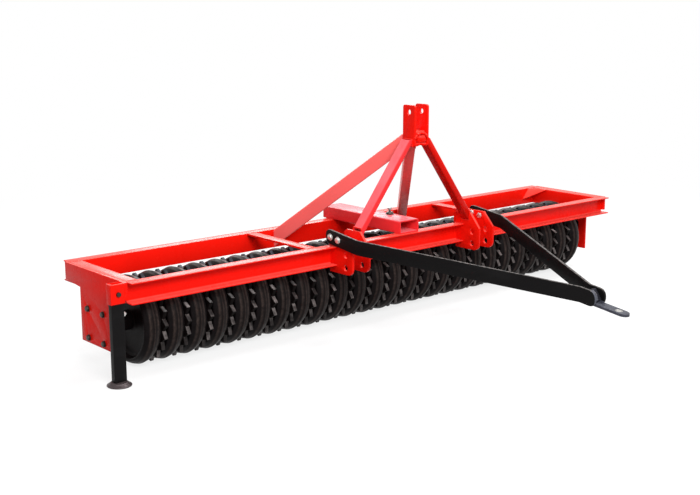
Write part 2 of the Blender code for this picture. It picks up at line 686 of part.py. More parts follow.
def build_headstock():
    """Lower link plates, masts, braces and the top link plates."""
    pin_y = -(HALF_DEPTH + HITCH_PIN_FORWARD)
    pins = [circle(HITCH_PIN_RADIUS, HOLE_STEPS, (pin_y, FRAME_TOP - drop)) for drop in HITCH_PIN_DROPS]
    bolt_holes = [
        circle(bore(DRAWBAR_BOLT_RADIUS, BOLT_STEPS, BOLT_GAP), BOLT_STEPS, (y, arm_height_at(y)))
        for y in DRAWBAR_BOLT_Y
    ]
    for side_name, side in (("left", -1), ("right", 1)):
        for place, x, holes in (
            ("outer", OUTER_HITCH_X, pins + bolt_holes), ("inner", INNER_HITCH_X, pins)
        ):
            name = f"hitch_plate_{side_name}_{place}"
            edge = hitch_outline(place == "outer")
            mesh = outline(name, [edge, *holes], HITCH_PLATE_THICK, "YZ", (side * x, 0, 0))
            add(name, mesh, RED)

    half = CLEVIS_DEPTH / 2
    round_z = FRAME_TOP + CLEVIS_TOP - CLEVIS_CORNER
    inset = half - CLEVIS_CORNER
    clevis_edge = [(CLEVIS_Y + side * half, FRAME_TOP + CLEVIS_BOTTOM) for side in (-1, 1)]
    for side, first in ((1, 0), (-1, 90)):
        middle = (CLEVIS_Y + side * inset, round_z)
        clevis_edge += arc(middle, CLEVIS_CORNER, first, first + 90, CLEVIS_CORNER_STEPS)
    pin = circle(CLEVIS_PIN_RADIUS, HOLE_STEPS, (CLEVIS_Y, FRAME_TOP + CLEVIS_TOP - CLEVIS_PIN_DROP))
    clevis_face = CLEVIS_PITCH / 2 + CLEVIS_THICK / 2
    brace_y = CLEVIS_Y + half + SEAT_GAP
    foot_y = WEB_INNER_Y - SEAT_GAP
    block_low = FRAME_TOP + CLEVIS_BOTTOM + CLEVIS_BLOCK_RISE
    block = box(
        "block", (-CLEVIS_PITCH / 2, CLEVIS_Y + half - CLEVIS_BLOCK_DEPTH, block_low),
        (clevis_face - CLEVIS_THICK - SEAT_GAP, CLEVIS_Y + half, block_low + CLEVIS_BLOCK_HEIGHT),
    )
    lean = (CLEVIS_FORWARD - MAST_FORWARD) / (MAST_HEIGHT - MAST_FOOT_RISE)
    for side_name, side in (("left", -1), ("right", 1)):
        name = f"clevis_plate_{side_name}"
        middle = (side * CLEVIS_PITCH / 2, 0, 0)
        mesh = outline(name, [clevis_edge, pin], CLEVIS_THICK, "YZ", middle)
        if side < 0:
            mesh = combine(mesh, [block], "UNION")
        add(name, mesh, RED)

        name = f"mast_{side_name}"
        hollow = rectangle(MAST_WIDTH - 2 * MAST_WALL, MAST_DEPTH - 2 * MAST_WALL)
        mesh = outline(name, [rectangle(MAST_WIDTH, MAST_DEPTH), hollow], MAST_HEIGHT)
        shifted(mesh, (0, 0, MAST_HEIGHT / 2))
        inward = -side * (MAST_FOOT_X - MAST_TOP_X) / (MAST_HEIGHT - MAST_FOOT_RISE)
        shear(shifted(mesh, (0, 0, -MAST_FOOT_RISE)), (0, inward), (1, -lean), 2)
        foot = (side * MAST_FOOT_X, -(HALF_DEPTH + MAST_FORWARD), FRAME_TOP + MAST_FOOT_RISE)
        shifted(mesh, foot)
        reach = clevis_face + SEAT_GAP
        notch = box(
            "notch", (-reach, CLEVIS_Y - CLEVIS_DEPTH, FRAME_TOP + CLEVIS_BOTTOM - SEAT_GAP),
            (reach, CLEVIS_Y + CLEVIS_DEPTH, FRAME_TOP + CLEVIS_TOP),
        )
        plate_face = side * (INNER_HITCH_FACE - SEAT_GAP)
        beyond = side * (OUTER_HITCH_X + HITCH_PLATE_THICK)
        foot_cut = box(
            "foot_cut", (min(plate_face, beyond), -2 * HALF_DEPTH, FRAME_TOP - CUT_OVERRUN),
            (max(plate_face, beyond), 0, FRAME_TOP + MAST_HEIGHT / 2),
        )
        add(name, combine(mesh, [notch, foot_cut], "DIFFERENCE"), RED)

        name = f"brace_{side_name}"
        run = foot_y - brace_y
        spread = (BRACE_FOOT_X - BRACE_TOP_X) / run
        drop = (BRACE_TOP_HEIGHT + BRACE_FOOT_DROP) / run
        along = math.hypot(1, spread)
        tilt = -side * drop * spread / along ** 2
        loops = []
        for wall in (0, BRACE_WALL):
            wide = (BRACE_WIDTH / 2 - wall) * along
            high = BRACE_HEIGHT / 2 - wall * math.hypot(1, drop / along)
            loops.append([
                (u * wide, v * high + tilt * u * wide) for u, v in ((-1, -1), (1, -1), (1, 1), (-1, 1))
            ])
        mesh = outline(name, loops, run, "XZ")
        shifted(mesh, (0, run / 2, 0))
        shear(mesh, (0, side * spread), (2, -drop), 1)
        half_wide = BRACE_WIDTH / 2 * along
        middle_x = side * (BRACE_TOP_X - half_wide)
        middle_z = BRACE_TOP_HEIGHT - BRACE_HEIGHT / 2 - side * tilt * half_wide
        shifted(mesh, (middle_x, brace_y, FRAME_TOP + middle_z))
        edges = sorted((side * SEAT_GAP / 2, -side * 2 * BRACE_WIDTH))
        mitre = box(
            "mitre", (edges[0], -HALF_DEPTH, FRAME_TOP), (edges[1], HALF_DEPTH, 2 * FRAME_TOP + MAST_HEIGHT)
        )
        add(name, combine(mesh, [mitre], "DIFFERENCE"), RED)


def build_receiver():
    """The receiver tube with its weld nut, and the bolt that clamps what is pushed in."""
    front = -(HALF_DEPTH - RECEIVER_SETBACK)
    length = REAR_EDGE - front
    middle = (0, (REAR_EDGE + front) / 2, FRAME_TOP + SEAT_GAP + RECEIVER_HEIGHT / 2)
    hollow = rectangle(RECEIVER_WIDTH - 2 * RECEIVER_WALL, RECEIVER_HEIGHT - 2 * RECEIVER_WALL)
    loops = [rectangle(RECEIVER_WIDTH, RECEIVER_HEIGHT), hollow]
    tube = outline("receiver_tube", loops, length, "XZ", middle)
    top = FRAME_TOP + SEAT_GAP + RECEIVER_HEIGHT
    radius = BEARING_BOLT_RADIUS
    nut_top = top + RECEIVER_NUT_HEIGHT
    x, y = RECEIVER_BOLT_X, RECEIVER_BOLT_Y
    nut = rod(
        "nut", RECEIVER_NUT_RADIUS, (x, y, top - RECEIVER_WALL / 2), (x, y, nut_top), HEXAGON, "Z"
    )
    tube = combine(tube, [nut], "UNION")
    hole = rod(
        "hole", bore(radius, BOLT_STEPS, BOLT_GAP), (x, y, top - 2 * RECEIVER_WALL),
        (x, y, nut_top + RECEIVER_WALL), BOLT_STEPS, "Z",
    )
    add("receiver_tube", combine(tube, [hole], "DIFFERENCE"), RED)

    head_low = RECEIVER_NUT_HEIGHT + RECEIVER_BOLT_REACH
    head_high = head_low + BOLT_HEAD_HEIGHT
    shank_low = -(RECEIVER_WALL - SLIDE_GAP)
    shank_high = head_low + BOLT_HEAD_HEIGHT / 2
    shank = rod("receiver_bolt", radius, (0, 0, shank_low), (0, 0, shank_high), BOLT_STEPS, "Z")
    head = rod("head", radius * BOLT_HEAD_RATIO, (0, 0, head_low), (0, 0, head_high), HEXAGON, "Z")
    piece = add("receiver_bolt", combine(shank, [head], "UNION"), ZINC)
    piece.location = (x, y, top)


def build_drawbar():
    """Two bent arms bolted to the outer link plates, and the tow plate between their noses."""
    half = ARM_THICK / 2
    lean = math.atan2(ARM_X - ARM_NOSE_X, ARM_BEND_Y - ARM_NOSE_Y)
    bend = half * math.tan(lean / 2)
    for side_name, side in (("left", -1), ("right", 1)):
        outer = [
            (ARM_X + half, ARM_REAR_Y), (ARM_X + half, ARM_BEND_Y - bend),
            (ARM_NOSE_X + half, ARM_NOSE_Y - bend), (ARM_NOSE_X + half, ARM_FRONT_Y),
        ]
        inner = [
            (ARM_NOSE_X - half, ARM_FRONT_Y), (ARM_NOSE_X - half, ARM_NOSE_Y + bend),
            (ARM_X - half, ARM_BEND_Y + bend), (ARM_X - half, ARM_REAR_Y),
        ]
        plan = [(side * x, y) for x, y in outer + inner]
        name = f"drawbar_arm_{side_name}"
        mesh = outline(name, [plan], ARM_HEIGHT)
        work = bmesh.new()
        work.from_mesh(mesh)
        ends = []
        for edge in work.edges:
            first, second = (vertex.co for vertex in edge.verts)
            across = abs(first.x - second.x) > half and abs(first.z - second.z) < half
            level = abs(first.y - second.y) < SEAT_GAP
            at_end = min(abs(first.y - ARM_REAR_Y), abs(first.y - ARM_FRONT_Y)) < SEAT_GAP
            if across and level and at_end:
                ends.append(edge)
        bmesh.ops.bevel(
            work, geom=ends, offset=ARM_CORNER, segments=ARM_CORNER_STEPS, profile=0.5, affect="EDGES"
        )
        work.to_mesh(mesh)
        work.free()
        for vertex in mesh.vertices:
            vertex.co.z += arm_height_at(vertex.co.y)
        holes = []
        for y in DRAWBAR_BOLT_Y:
            start = (side * (ARM_X - ARM_THICK), y, arm_height_at(y))
            end = (side * (ARM_X + ARM_THICK), y, arm_height_at(y))
            hole_radius = bore(DRAWBAR_BOLT_RADIUS, BOLT_STEPS, BOLT_GAP)
            holes.append(rod("hole", hole_radius, start, end, BOLT_STEPS, "X"))
        add(name, combine(mesh, holes, "DIFFERENCE"), BLACK)

        for place, y in zip(("rear", "front"), DRAWBAR_BOLT_Y):
            name = f"drawbar_bolt_{side_name}_{place}"
            z = arm_height_at(y)
            outside = ARM_X + half + SEAT_GAP
            inside = OUTER_HITCH_X - HITCH_PLATE_THICK / 2 - SEAT_GAP
            head_x = outside + BOLT_HEAD_HEIGHT
            nut_x = inside - BOLT_HEAD_HEIGHT
            shank = rod(
                name, DRAWBAR_BOLT_RADIUS, (side * (head_x - DRAWBAR_BOLT_END), y, z),
                (side * (nut_x - DRAWBAR_BOLT_END), y, z), BOLT_STEPS, "X",
            )
            radius = DRAWBAR_BOLT_RADIUS * BOLT_HEAD_RATIO
            head = rod("head", radius, (side * outside, y, z), (side * head_x, y, z), HEXAGON, "X")
            nut = rod("nut", radius, (side * inside, y, z), (side * nut_x, y, z), HEXAGON, "X")
            add(name, combine(shank, [head, nut], "UNION"), ZINC)

    radius = TOW_WIDTH / 2
    eye = (0, TOW_TIP_Y + TOW_EYE_SETBACK)
    edge = [(radius, TOW_REAR_Y), (-radius, TOW_REAR_Y)]
    edge += arc((0, TOW_TIP_Y + radius), radius, 180, 360, TOW_NOSE_STEPS)
    middle_z = TOW_RISE + TOW_THICK / 2 - ARM_HEIGHT / 2
    loops = [edge, circle(TOW_EYE_RADIUS, HOLE_STEPS, eye)]
    mesh = outline("tow_plate", loops, TOW_THICK, "XY", (0, 0, middle_z))
    for vertex in mesh.vertices:
        vertex.co.z += arm_height_at(vertex.co.y)
    add("tow_plate", mesh, GREY_STEEL)


def build_leg():
    """The parking leg in its socket, with its dished foot and clamp bolt."""
    socket_low = FRAME_TOP - SOCKET_HEIGHT
    middle = (LEG_X, LEG_Y, FRAME_TOP - SOCKET_HEIGHT / 2)
    hollow = rectangle(SOCKET_WIDTH - 2 * SOCKET_WALL, SOCKET_DEPTH - 2 * SOCKET_WALL)
    loops = [rectangle(SOCKET_WIDTH, SOCKET_DEPTH), hollow]
    socket = outline("leg_socket", loops, SOCKET_HEIGHT, "XY", middle)
    front = LEG_Y - SOCKET_DEPTH / 2
    bolt_z = FRAME_TOP - SOCKET_HEIGHT / 2
    radius = LEG_BOLT_RADIUS
    hole = rod(
        "hole", bore(radius, BOLT_STEPS, BOLT_GAP), (LEG_X, front - SOCKET_WALL, bolt_z),
        (LEG_X, front + SOCKET_WALL + SLIDE_GAP / 2, bolt_z), BOLT_STEPS, "Y",
    )
    add("leg_socket", combine(socket, [hole], "DIFFERENCE"), RED)

    leg_low = FOOT_HEIGHT + SEAT_GAP
    leg_high = FRAME_TOP - LEG_TOP_DROP
    hollow = rectangle(LEG_WIDTH - 2 * LEG_WALL, LEG_DEPTH - 2 * LEG_WALL)
    loops = [rectangle(LEG_WIDTH, LEG_DEPTH), hollow]
    leg = outline("stand_leg", loops, leg_high - leg_low, "XY", (0, 0, (leg_high + leg_low) / 2))
    stud_z = socket_low - STUD_BELOW_SOCKET
    stud = rod(
        "stud", STUD_RADIUS, (LEG_WIDTH / 2 - LEG_WALL / 2, -STUD_FORWARD, stud_z),
        (LEG_WIDTH / 2 + STUD_LENGTH, -STUD_FORWARD, stud_z), BOLT_STEPS, "X",
    )
    piece = add("stand_leg", combine(leg, [stud], "UNION"), BLACK)
    piece.location = (LEG_X, LEG_Y, 0)

    profile = [
        (0, FOOT_HEIGHT), (FOOT_NECK_RADIUS, FOOT_HEIGHT),
        (FOOT_NECK_RADIUS + FOOT_NECK_FLARE, FOOT_NECK_HEIGHT), (FOOT_RADIUS, FOOT_EDGE),
        (FOOT_RADIUS, FOOT_EDGE_ROUND), (FOOT_RADIUS - FOOT_SOLE_INSET, 0), (0, 0),
    ]
    piece = add("stand_foot", turned("stand_foot", profile, FOOT_STEPS, "Z"), GREY_STEEL)
    piece.location = (LEG_X, LEG_Y, 0)
    smooth(piece)

    head_y = front - SEAT_GAP
    tip_y = LEG_Y - LEG_DEPTH / 2 - SEAT_GAP
    head_front = head_y - BOLT_HEAD_HEIGHT
    shank_front = head_y - BOLT_HEAD_HEIGHT / 2
    shank = rod("leg_clamp_bolt", radius, (0, shank_front, 0), (0, tip_y, 0), BOLT_STEPS, "Y")
    head = rod("head", radius * BOLT_HEAD_RATIO, (0, head_front, 0), (0, head_y, 0), HEXAGON, "Y")
    piece = add("leg_clamp_bolt", combine(shank, [head], "UNION"), DARK_STEEL)
    piece.location = (LEG_X, 0, bolt_z)


build_frame()
build_ends()
build_axle()
build_rings()
build_headstock()
build_receiver()
build_drawbar()
build_leg()
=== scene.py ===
import math

import bmesh
import bpy
from mathutils import Matrix, Vector, noise


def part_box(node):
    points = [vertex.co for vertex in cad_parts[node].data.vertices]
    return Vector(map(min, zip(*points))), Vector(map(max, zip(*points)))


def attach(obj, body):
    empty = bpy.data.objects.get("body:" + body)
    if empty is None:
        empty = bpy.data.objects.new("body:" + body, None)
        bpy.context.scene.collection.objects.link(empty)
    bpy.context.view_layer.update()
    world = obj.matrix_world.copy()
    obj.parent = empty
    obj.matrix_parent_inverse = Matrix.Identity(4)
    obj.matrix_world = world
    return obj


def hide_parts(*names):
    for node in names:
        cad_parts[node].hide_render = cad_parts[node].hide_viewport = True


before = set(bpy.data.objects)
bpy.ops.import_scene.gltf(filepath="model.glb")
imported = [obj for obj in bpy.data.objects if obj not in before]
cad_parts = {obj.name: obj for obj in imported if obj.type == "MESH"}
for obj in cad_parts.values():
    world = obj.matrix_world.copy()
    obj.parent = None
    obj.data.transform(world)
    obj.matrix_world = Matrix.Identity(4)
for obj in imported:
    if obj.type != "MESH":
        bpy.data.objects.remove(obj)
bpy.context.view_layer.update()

bl_info = {
    "name": "Ring land roller",
    "version": (1, 0, 0),
    "blender": (4, 5, 0),
    "location": "3D View > Sidebar > Land Roller",
    "description": "Finishes the pieces of a ring land roller and sets its stage",
    "category": "Object",
}

AXES = {"X": Vector((1, 0, 0)), "Y": Vector((0, 1, 0)), "Z": Vector((0, 0, 1))}
TURNS = {"X": (0, math.pi / 2, 0), "Y": (math.pi / 2, 0, 0), "Z": (0, 0, 0)}
KINDS = {"verts": "VERT", "edges": "EDGE", "faces": "FACE"}
SIDES = (("left", -1), ("right", 1))

# Merging distance and clearances
HAIR = 0.00001
SEAT_GAP = 0.0003
TIP_INSET = 0.0005

# Pin holes: distances from the front beam, the frame's top and the upper plate's top, and radii
PIN_AHEAD = 0.062
PIN_DROPS = (0.033, 0.0955)
LINK_PIN = 0.0148
TOP_PIN_DROP = 0.035
TOP_PIN = 0.0131
TOW_EYE = 0.0165

# Height of the receiver's nut, and of the frame's top above the seams under its channels
RECEIVER_NUT = 0.012
SEAM_DROP = 0.0955


def middle(node):
    """Middle of a node's box."""
    low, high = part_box(node)
    return (low + high) / 2


def span(node):
    """Size of a node's box."""
    low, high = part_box(node)
    return high - low


STARS = sorted(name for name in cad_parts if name.startswith("star_ring_"))
AXLE = middle("axle_shaft")
PITCH = middle(STARS[1]).x - middle(STARS[0]).x
RING_RADIUS = AXLE.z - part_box("ring_gang")[0].z
RING_WIDTH = span("ring_gang").x - len(STARS) * PITCH
STAR_WIDTH = span(STARS[0]).x
STAR_RADIUS = RING_RADIUS - TIP_INSET
SHOULDER = 0.68
PLATE = {-1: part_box("side_plate_left"), 1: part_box("side_plate_right")}
FRAME_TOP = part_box("front_beam")[1].z


class RollerPaintSettings(bpy.types.PropertyGroup):
    """Colours of the roller's finishes."""

    red: bpy.props.FloatVectorProperty(
        name="Red paint", description="Colour of the painted frame",
        subtype="COLOR", size=3, min=0, max=1, default=(0.84, 0.0085, 0.0035))
    chalked: bpy.props.FloatVectorProperty(
        name="Chalked red", description="Colour of the two rear braces",
        subtype="COLOR", size=3, min=0, max=1, default=(0.84, 0.125, 0.118))
    tube: bpy.props.FloatVectorProperty(
        name="Tube red", description="Colour of the masts and the receiver tube",
        subtype="COLOR", size=3, min=0, max=1, default=(0.82, 0.030, 0.034))
    black: bpy.props.FloatVectorProperty(
        name="Black paint", description="Colour of the drawbar and the leg",
        subtype="COLOR", size=3, min=0, max=1, default=(0.0045, 0.0040, 0.0042))
    iron: bpy.props.FloatVectorProperty(
        name="Cast iron", description="Colour of the rings",
        subtype="COLOR", size=3, min=0, max=1, default=(0.0044, 0.0030, 0.0030))
    zinc: bpy.props.FloatVectorProperty(
        name="Zinc", description="Colour of the plated bolts",
        subtype="COLOR", size=3, min=0, max=1, default=(0.72, 0.71, 0.69))
    steel: bpy.props.FloatVectorProperty(
        name="Grey steel", description="Colour of the tow plate and the foot",
        subtype="COLOR", size=3, min=0, max=1, default=(0.064, 0.050, 0.052))


class RollerShapeSettings(bpy.types.PropertyGroup):
    """Sizes of the roller's finer forms."""

    edge_round: bpy.props.FloatProperty(
        name="Edge", description="Rounding of cut plate edges",
        unit="LENGTH", min=0.0002, max=0.004, default=0.0012)
    tube_corner: bpy.props.FloatProperty(
        name="Tube corner", description="Outer corner radius of the square tubes",
        unit="LENGTH", min=0.001, max=0.012, default=0.007)
    root_fillet: bpy.props.FloatProperty(
        name="Root fillet", description="Fillet between a channel's web and its flanges",
        unit="LENGTH", min=0.001, max=0.012, default=0.007)
    weld_leg: bpy.props.FloatProperty(
        name="Weld", description="Width of a fillet weld",
        unit="LENGTH", min=0.002, max=0.012, default=0.0055)
    ring_ridge: bpy.props.FloatProperty(
        name="Ridge", description="Height of a ring's ridge above its edges",
        unit="LENGTH", min=0.005, max=0.030, default=0.019)
    ring_rim: bpy.props.FloatProperty(
        name="Rim", description="Thickness of a ring's rim at its edges",
        unit="LENGTH", min=0.006, max=0.020, default=0.013)
    ring_steps: bpy.props.IntProperty(
        name="Ring steps", description="Steps round a ridged ring", min=24, max=160, default=96)
    tooth_count: bpy.props.IntProperty(
        name="Teeth", description="Teeth on a toothed ring", min=8, max=40, default=20)
    tooth_depth: bpy.props.FloatProperty(
        name="Tooth depth", description="Depth of a toothed ring's teeth",
        unit="LENGTH", min=0.010, max=0.040, default=0.0255)


class RollerStageSettings(bpy.types.PropertyGroup):
    """Light, floor and camera."""

    sky: bpy.props.FloatProperty(
        name="Sky", description="Strength of the even light from all round", min=0, max=2, default=0.60)
    key: bpy.props.FloatProperty(
        name="Key light", description="Power of the large lamp ahead of the roller",
        unit="POWER", min=0, max=5000, default=585)
    rear: bpy.props.FloatProperty(
        name="Rear light", description="Power of the lamp behind the roller",
        unit="POWER", min=0, max=5000, default=260)
    top: bpy.props.FloatProperty(
        name="Top light", description="Power of the lamp above",
        unit="POWER", min=0, max=5000, default=230)
    lens: bpy.props.FloatProperty(
        name="Lens", description="Focal length of the camera", unit="CAMERA", min=20, max=200, default=61.05)


# Selecting and shaping

def only(piece):
    """Make one object the selected and active one."""
    bpy.ops.object.select_all(action="DESELECT")
    piece.select_set(True)
    bpy.context.view_layer.objects.active = piece
    return piece


def edit(piece):
    """Open a piece in edit mode with all of it selected."""
    only(piece)
    bpy.ops.object.mode_set(mode="EDIT")
    bpy.ops.mesh.select_all(action="SELECT")


def leave():
    """Go back to object mode."""
    bpy.ops.object.mode_set(mode="OBJECT")


def pick(piece, kind, test):
    """Select what passes a test, by kind, on the piece that is open in edit mode."""
    bpy.ops.mesh.select_mode(type=KINDS[kind])
    bpy.ops.mesh.select_all(action="DESELECT")
    work = bmesh.from_edit_mesh(piece.data)
    for item in getattr(work, kind):
        if test(item):
            item.select_set(True)
    work.select_flush_mode()
    bmesh.update_edit_mesh(piece.data)


def mend():
    """Merge doubles and turn faces outwards on the piece that is open in edit mode."""
    bpy.ops.mesh.select_all(action="SELECT")
    bpy.ops.mesh.remove_doubles(threshold=HAIR)
    bpy.ops.mesh.normals_make_consistent(inside=False)


def flatten(piece, threshold=HAIR):
    """Merge a piece's doubles and make its flat faces whole again."""
    edit(piece)
    bpy.ops.mesh.remove_doubles(threshold=threshold)
    bpy.ops.mesh.dissolve_limited(angle_limit=math.radians(0.5))
    leave()
    return piece


def copied(node, name):
    """A merged copy of a node's mesh, with its flat faces whole again."""
    piece = bpy.data.objects.new(name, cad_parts[node].data.copy())
    piece.data.name = name
    piece.data.materials.clear()
    bpy.context.scene.collection.objects.link(piece)
    only(piece)
    bpy.ops.mesh.customdata_custom_splitnormals_clear()
    return flatten(piece)


def primitive(name, add, **sizes):
    """A new primitive, named, with its place and turn already in its mesh."""
    bpy.ops.object.select_all(action="DESELECT")
    add(**sizes)
    piece = bpy.context.object
    piece.name = name
    piece.data.name = name
    bpy.ops.object.transform_apply(location=True, rotation=True, scale=True)
    return piece


def cylinder(name, radius, start, length, axis, vertices=48):
    """A cylinder from a start point, along an axis by a length of either sign."""
    return primitive(
        name, bpy.ops.mesh.primitive_cylinder_add, vertices=vertices, radius=radius,
        depth=abs(length), location=Vector(start) + AXES[axis] * length / 2, rotation=TURNS[axis])


def with_modifier(piece, kind, **values):
    """Add a modifier and apply it."""
    only(piece)
    step = piece.modifiers.new(kind.lower(), kind)
    for key, value in values.items():
        setattr(step, key, value)
    bpy.ops.object.modifier_apply(modifier=step.name)
    return piece


def combined(piece, other, operation):
    """Cut, join or cross a piece with another, which is used up."""
    with_modifier(piece, "BOOLEAN", operation=operation, object=other, solver="EXACT")
    bpy.data.objects.remove(other, do_unlink=True)
    return piece


def softened(piece, width, segments=2, angle=30):
    """Round every edge that is sharper than an angle."""
    return with_modifier(
        piece, "BEVEL", width=width, segments=segments, limit_method="ANGLE",
        angle_limit=math.radians(angle), harden_normals=False)


def edges_rounded(piece, test, width, segments):
    """Round the edges that pass a test."""
    edit(piece)
    pick(piece, "edges", test)
    bpy.ops.mesh.bevel(offset=width, segments=segments, affect="EDGES")
    leave()
    return piece


def crosswise(least):
    """A test for edges that run along X by more than a length."""
    return lambda edge: abs(edge.verts[0].co.x - edge.verts[1].co.x) > least


def long_edges_rounded(piece, least, width, segments=4, hollow=False):
    """Round the edges that are longer than a length: the outward ones, or with hollow the inward ones."""
    sharp = 0.5

    def meant(edge):
        return (edge.calc_length() > least and edge.is_manifold and abs(edge.calc_face_angle()) > sharp
                and (edge.calc_face_angle_signed() < 0) == hollow)

    return edges_rounded(piece, meant, width, segments)


def turned(name, profile, steps, middle_point, axis="X"):
    """A closed profile of (along, radius) pairs, spun once round an axis."""
    piece = primitive(name, bpy.ops.mesh.primitive_plane_add, size=0.01)
    along, out = AXES[axis], AXES["X" if axis == "Z" else "Z"]
    points = [along * u + out * v for u, v in profile]
    edit(piece)
    bpy.ops.mesh.select_mode(type="VERT")
    bpy.ops.mesh.merge(type="CENTER")
    bpy.ops.transform.translate(value=Vector(middle_point) + points[0])
    for before, after in zip(points, points[1:]):
        bpy.ops.mesh.extrude_region_move(TRANSFORM_OT_translate={"value": after - before})
    bpy.ops.mesh.select_all(action="SELECT")
    bpy.ops.mesh.spin(steps=steps, angle=2 * math.pi, center=middle_point, axis=along)
    mend()
    leave()
    return piece


def rounded_profile(corners, radii, steps=3):
    """An open profile whose inner corners are rounded by the given radii."""
    share, least = 0.45, 0.0002
    points = [corners[0]]
    for index in range(1, len(corners) - 1):
        before, here, after = (Vector(corners[index + step]) for step in (-1, 0, 1))
        first, last = before - here, after - here
        reach = min(radii[index], first.length * share, last.length * share)
        if reach < least:
            points.append(tuple(here))
            continue
        start, end = here + first.normalized() * reach, here + last.normalized() * reach
        for step in range(steps + 1):
            t = step / steps
            points.append(tuple(start * (1 - t) ** 2 + here * 2 * t * (1 - t) + end * t ** 2))
    points.append(corners[-1])
    return points


def settled(piece, finishes, slot, body, *nodes, smooth=32):
    """Shade a finished piece, give it its finish and let it ride on its body."""
    only(piece)
    bpy.ops.object.shade_smooth_by_angle(angle=math.radians(smooth))
    piece.data.materials.clear()
    for finish in finishes:
        piece.data.materials.append(finish)
    if nodes:
        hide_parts(*nodes)
    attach(piece, body)
    return piece


def coated(piece, index, test):
    """Give another of a piece's finishes to the faces that pass a test."""
    for face in piece.data.polygons:
        if test(face):
            face.material_index = index
    return piece


# Materials

class Nodes:
    """A material's nodes, added and linked in short."""

    def __init__(self, name):
        self.material = bpy.data.materials.new(name)
        self.material.use_nodes = True
        self.tree = self.material.node_tree
        self.shader = self.tree.nodes["Principled BSDF"]
        source = self.add("ShaderNodeTexCoord")
        self.place = source.outputs["Object"]
        parts = self.add("ShaderNodeSeparateXYZ")
        self.tree.links.new(source.outputs["Normal"], parts.inputs[0])
        self.rise = parts.outputs["Z"]

    def add(self, kind, **values):
        """A node with its properties set."""
        node = self.tree.nodes.new(kind)
        for key, value in values.items():
            setattr(node, key, value)
        return node

    def link(self, output, target):
        """Link an output to an input."""
        self.tree.links.new(output, target)

    def noise(self, scale, detail=3.0, roughness=0.5, stretch=None):
        """A noise on the object's own coordinates."""
        node = self.add("ShaderNodeTexNoise")
        node.inputs["Scale"].default_value = scale
        node.inputs["Detail"].default_value = detail
        node.inputs["Roughness"].default_value = roughness
        source = self.place
        if stretch:
            mapping = self.add("ShaderNodeMapping")
            mapping.inputs["Scale"].default_value = stretch
            self.link(self.place, mapping.inputs["Vector"])
            source = mapping.outputs["Vector"]
        self.link(source, node.inputs["Vector"])
        return node.outputs["Fac"]

    def patches(self, scale, detail, roughness, low, high, start=0.0, end=1.0):
        """A noise remapped from one range to another, clamped."""
        return self.ramp(self.noise(scale, detail, roughness), low, high, start, end)

    def cells(self, scale):
        """The distance field of a cell pattern."""
        node = self.add("ShaderNodeTexVoronoi", feature="F1")
        node.inputs["Scale"].default_value = scale
        self.link(self.place, node.inputs["Vector"])
        return node.outputs["Distance"]

    def reach(self):
        """The distance from the axle's line."""
        across = self.add("ShaderNodeVectorMath", operation="MULTIPLY")
        across.inputs[1].default_value = (0, 1, 1)
        self.link(self.place, across.inputs[0])
        node = self.add("ShaderNodeVectorMath", operation="DISTANCE")
        node.inputs[1].default_value = (0, AXLE.y, AXLE.z)
        self.link(across.outputs["Vector"], node.inputs[0])
        return node.outputs["Value"]

    def ramp(self, source, low, high, start=0.0, end=1.0):
        """A value remapped from one range to another, clamped."""
        node = self.add("ShaderNodeMapRange")
        for key, value in (("From Min", low), ("From Max", high), ("To Min", start), ("To Max", end)):
            node.inputs[key].default_value = value
        self.link(source, node.inputs["Value"])
        return node.outputs["Result"]

    def maths(self, operation, first, second):
        """A sum of two outputs or numbers."""
        node = self.add("ShaderNodeMath", operation=operation)
        for source, target in ((first, node.inputs[0]), (second, node.inputs[1])):
            if isinstance(source, (int, float)):
                target.default_value = source
            else:
                self.link(source, target)
        return node.outputs["Value"]

    def mixed(self, share, first, second):
        """A colour between two colours or outputs."""
        node = self.add("ShaderNodeMix", data_type="RGBA")
        self.link(share, node.inputs[0])
        for source, target in ((first, node.inputs[6]), (second, node.inputs[7])):
            if isinstance(source, (tuple, list)):
                target.default_value = (*source[:3], 1)
            else:
                self.link(source, target)
        return node.outputs[2]

    def finish(self, colour, roughness, height, bump, distance, metallic=0.0, **fixed):
        """Drive the shader: colour and roughness outputs, and a bump from a height output."""
        self.link(colour, self.shader.inputs["Base Color"])
        self.link(roughness, self.shader.inputs["Roughness"])
        node = self.add("ShaderNodeBump")
        node.inputs["Strength"].default_value = bump
        node.inputs["Distance"].default_value = distance
        self.link(height, node.inputs["Height"])
        self.link(node.outputs["Normal"], self.shader.inputs["Normal"])
        self.shader.inputs["Metallic"].default_value = metallic
        for key, value in fixed.items():
            self.shader.inputs[key.replace("_", " ")].default_value = value
        return self.material


def scaled(colour, factor):
    """A colour made darker or lighter."""
    return tuple(min(1.0, part * factor) for part in colour)


def red_paint(name, colour, highlight_level=0.62, weld=False, highlight_colour=(0.73, 0.112, 0.090)):
    """Glossy red enamel: fine orange peel, faint clouding, and a patchy pale pink painted highlight where it
    faces up.
    """
    made = Nodes(name)
    cloud = made.patches(5.0, 4.0, 0.5, 0.35, 0.70)
    base = made.mixed(cloud, scaled(colour, 0.92), colour)
    patch = made.patches(11.0, 5.0, 0.6, 0.30, 0.62, 0.70 * highlight_level, highlight_level)
    # Faces that look up are mixed in patches towards a pale pink: a painted highlight.
    painted_pink_highlight = made.maths("MULTIPLY", made.ramp(made.rise, 0.15, 0.75), patch)
    base = made.mixed(painted_pink_highlight, base, highlight_colour)
    dust = made.patches(38.0, 6.0, 0.7, 0.60, 0.82, 0.0, 0.04)
    base = made.mixed(dust, base, (0.62, 0.20, 0.16))
    peel = made.noise(420.0, 2.0)
    grain = made.noise(90.0, 3.0) if weld else made.noise(60.0, 2.0)
    height = made.maths("ADD", made.maths("MULTIPLY", peel, 0.35), grain)
    rough = made.patches(14.0, 5.0, 0.6, 0.3, 0.7, 0.22, 0.32)
    return made.finish(base, rough, height, 0.30 if weld else 0.12, 0.0006, Specular_IOR_Level=0.055)


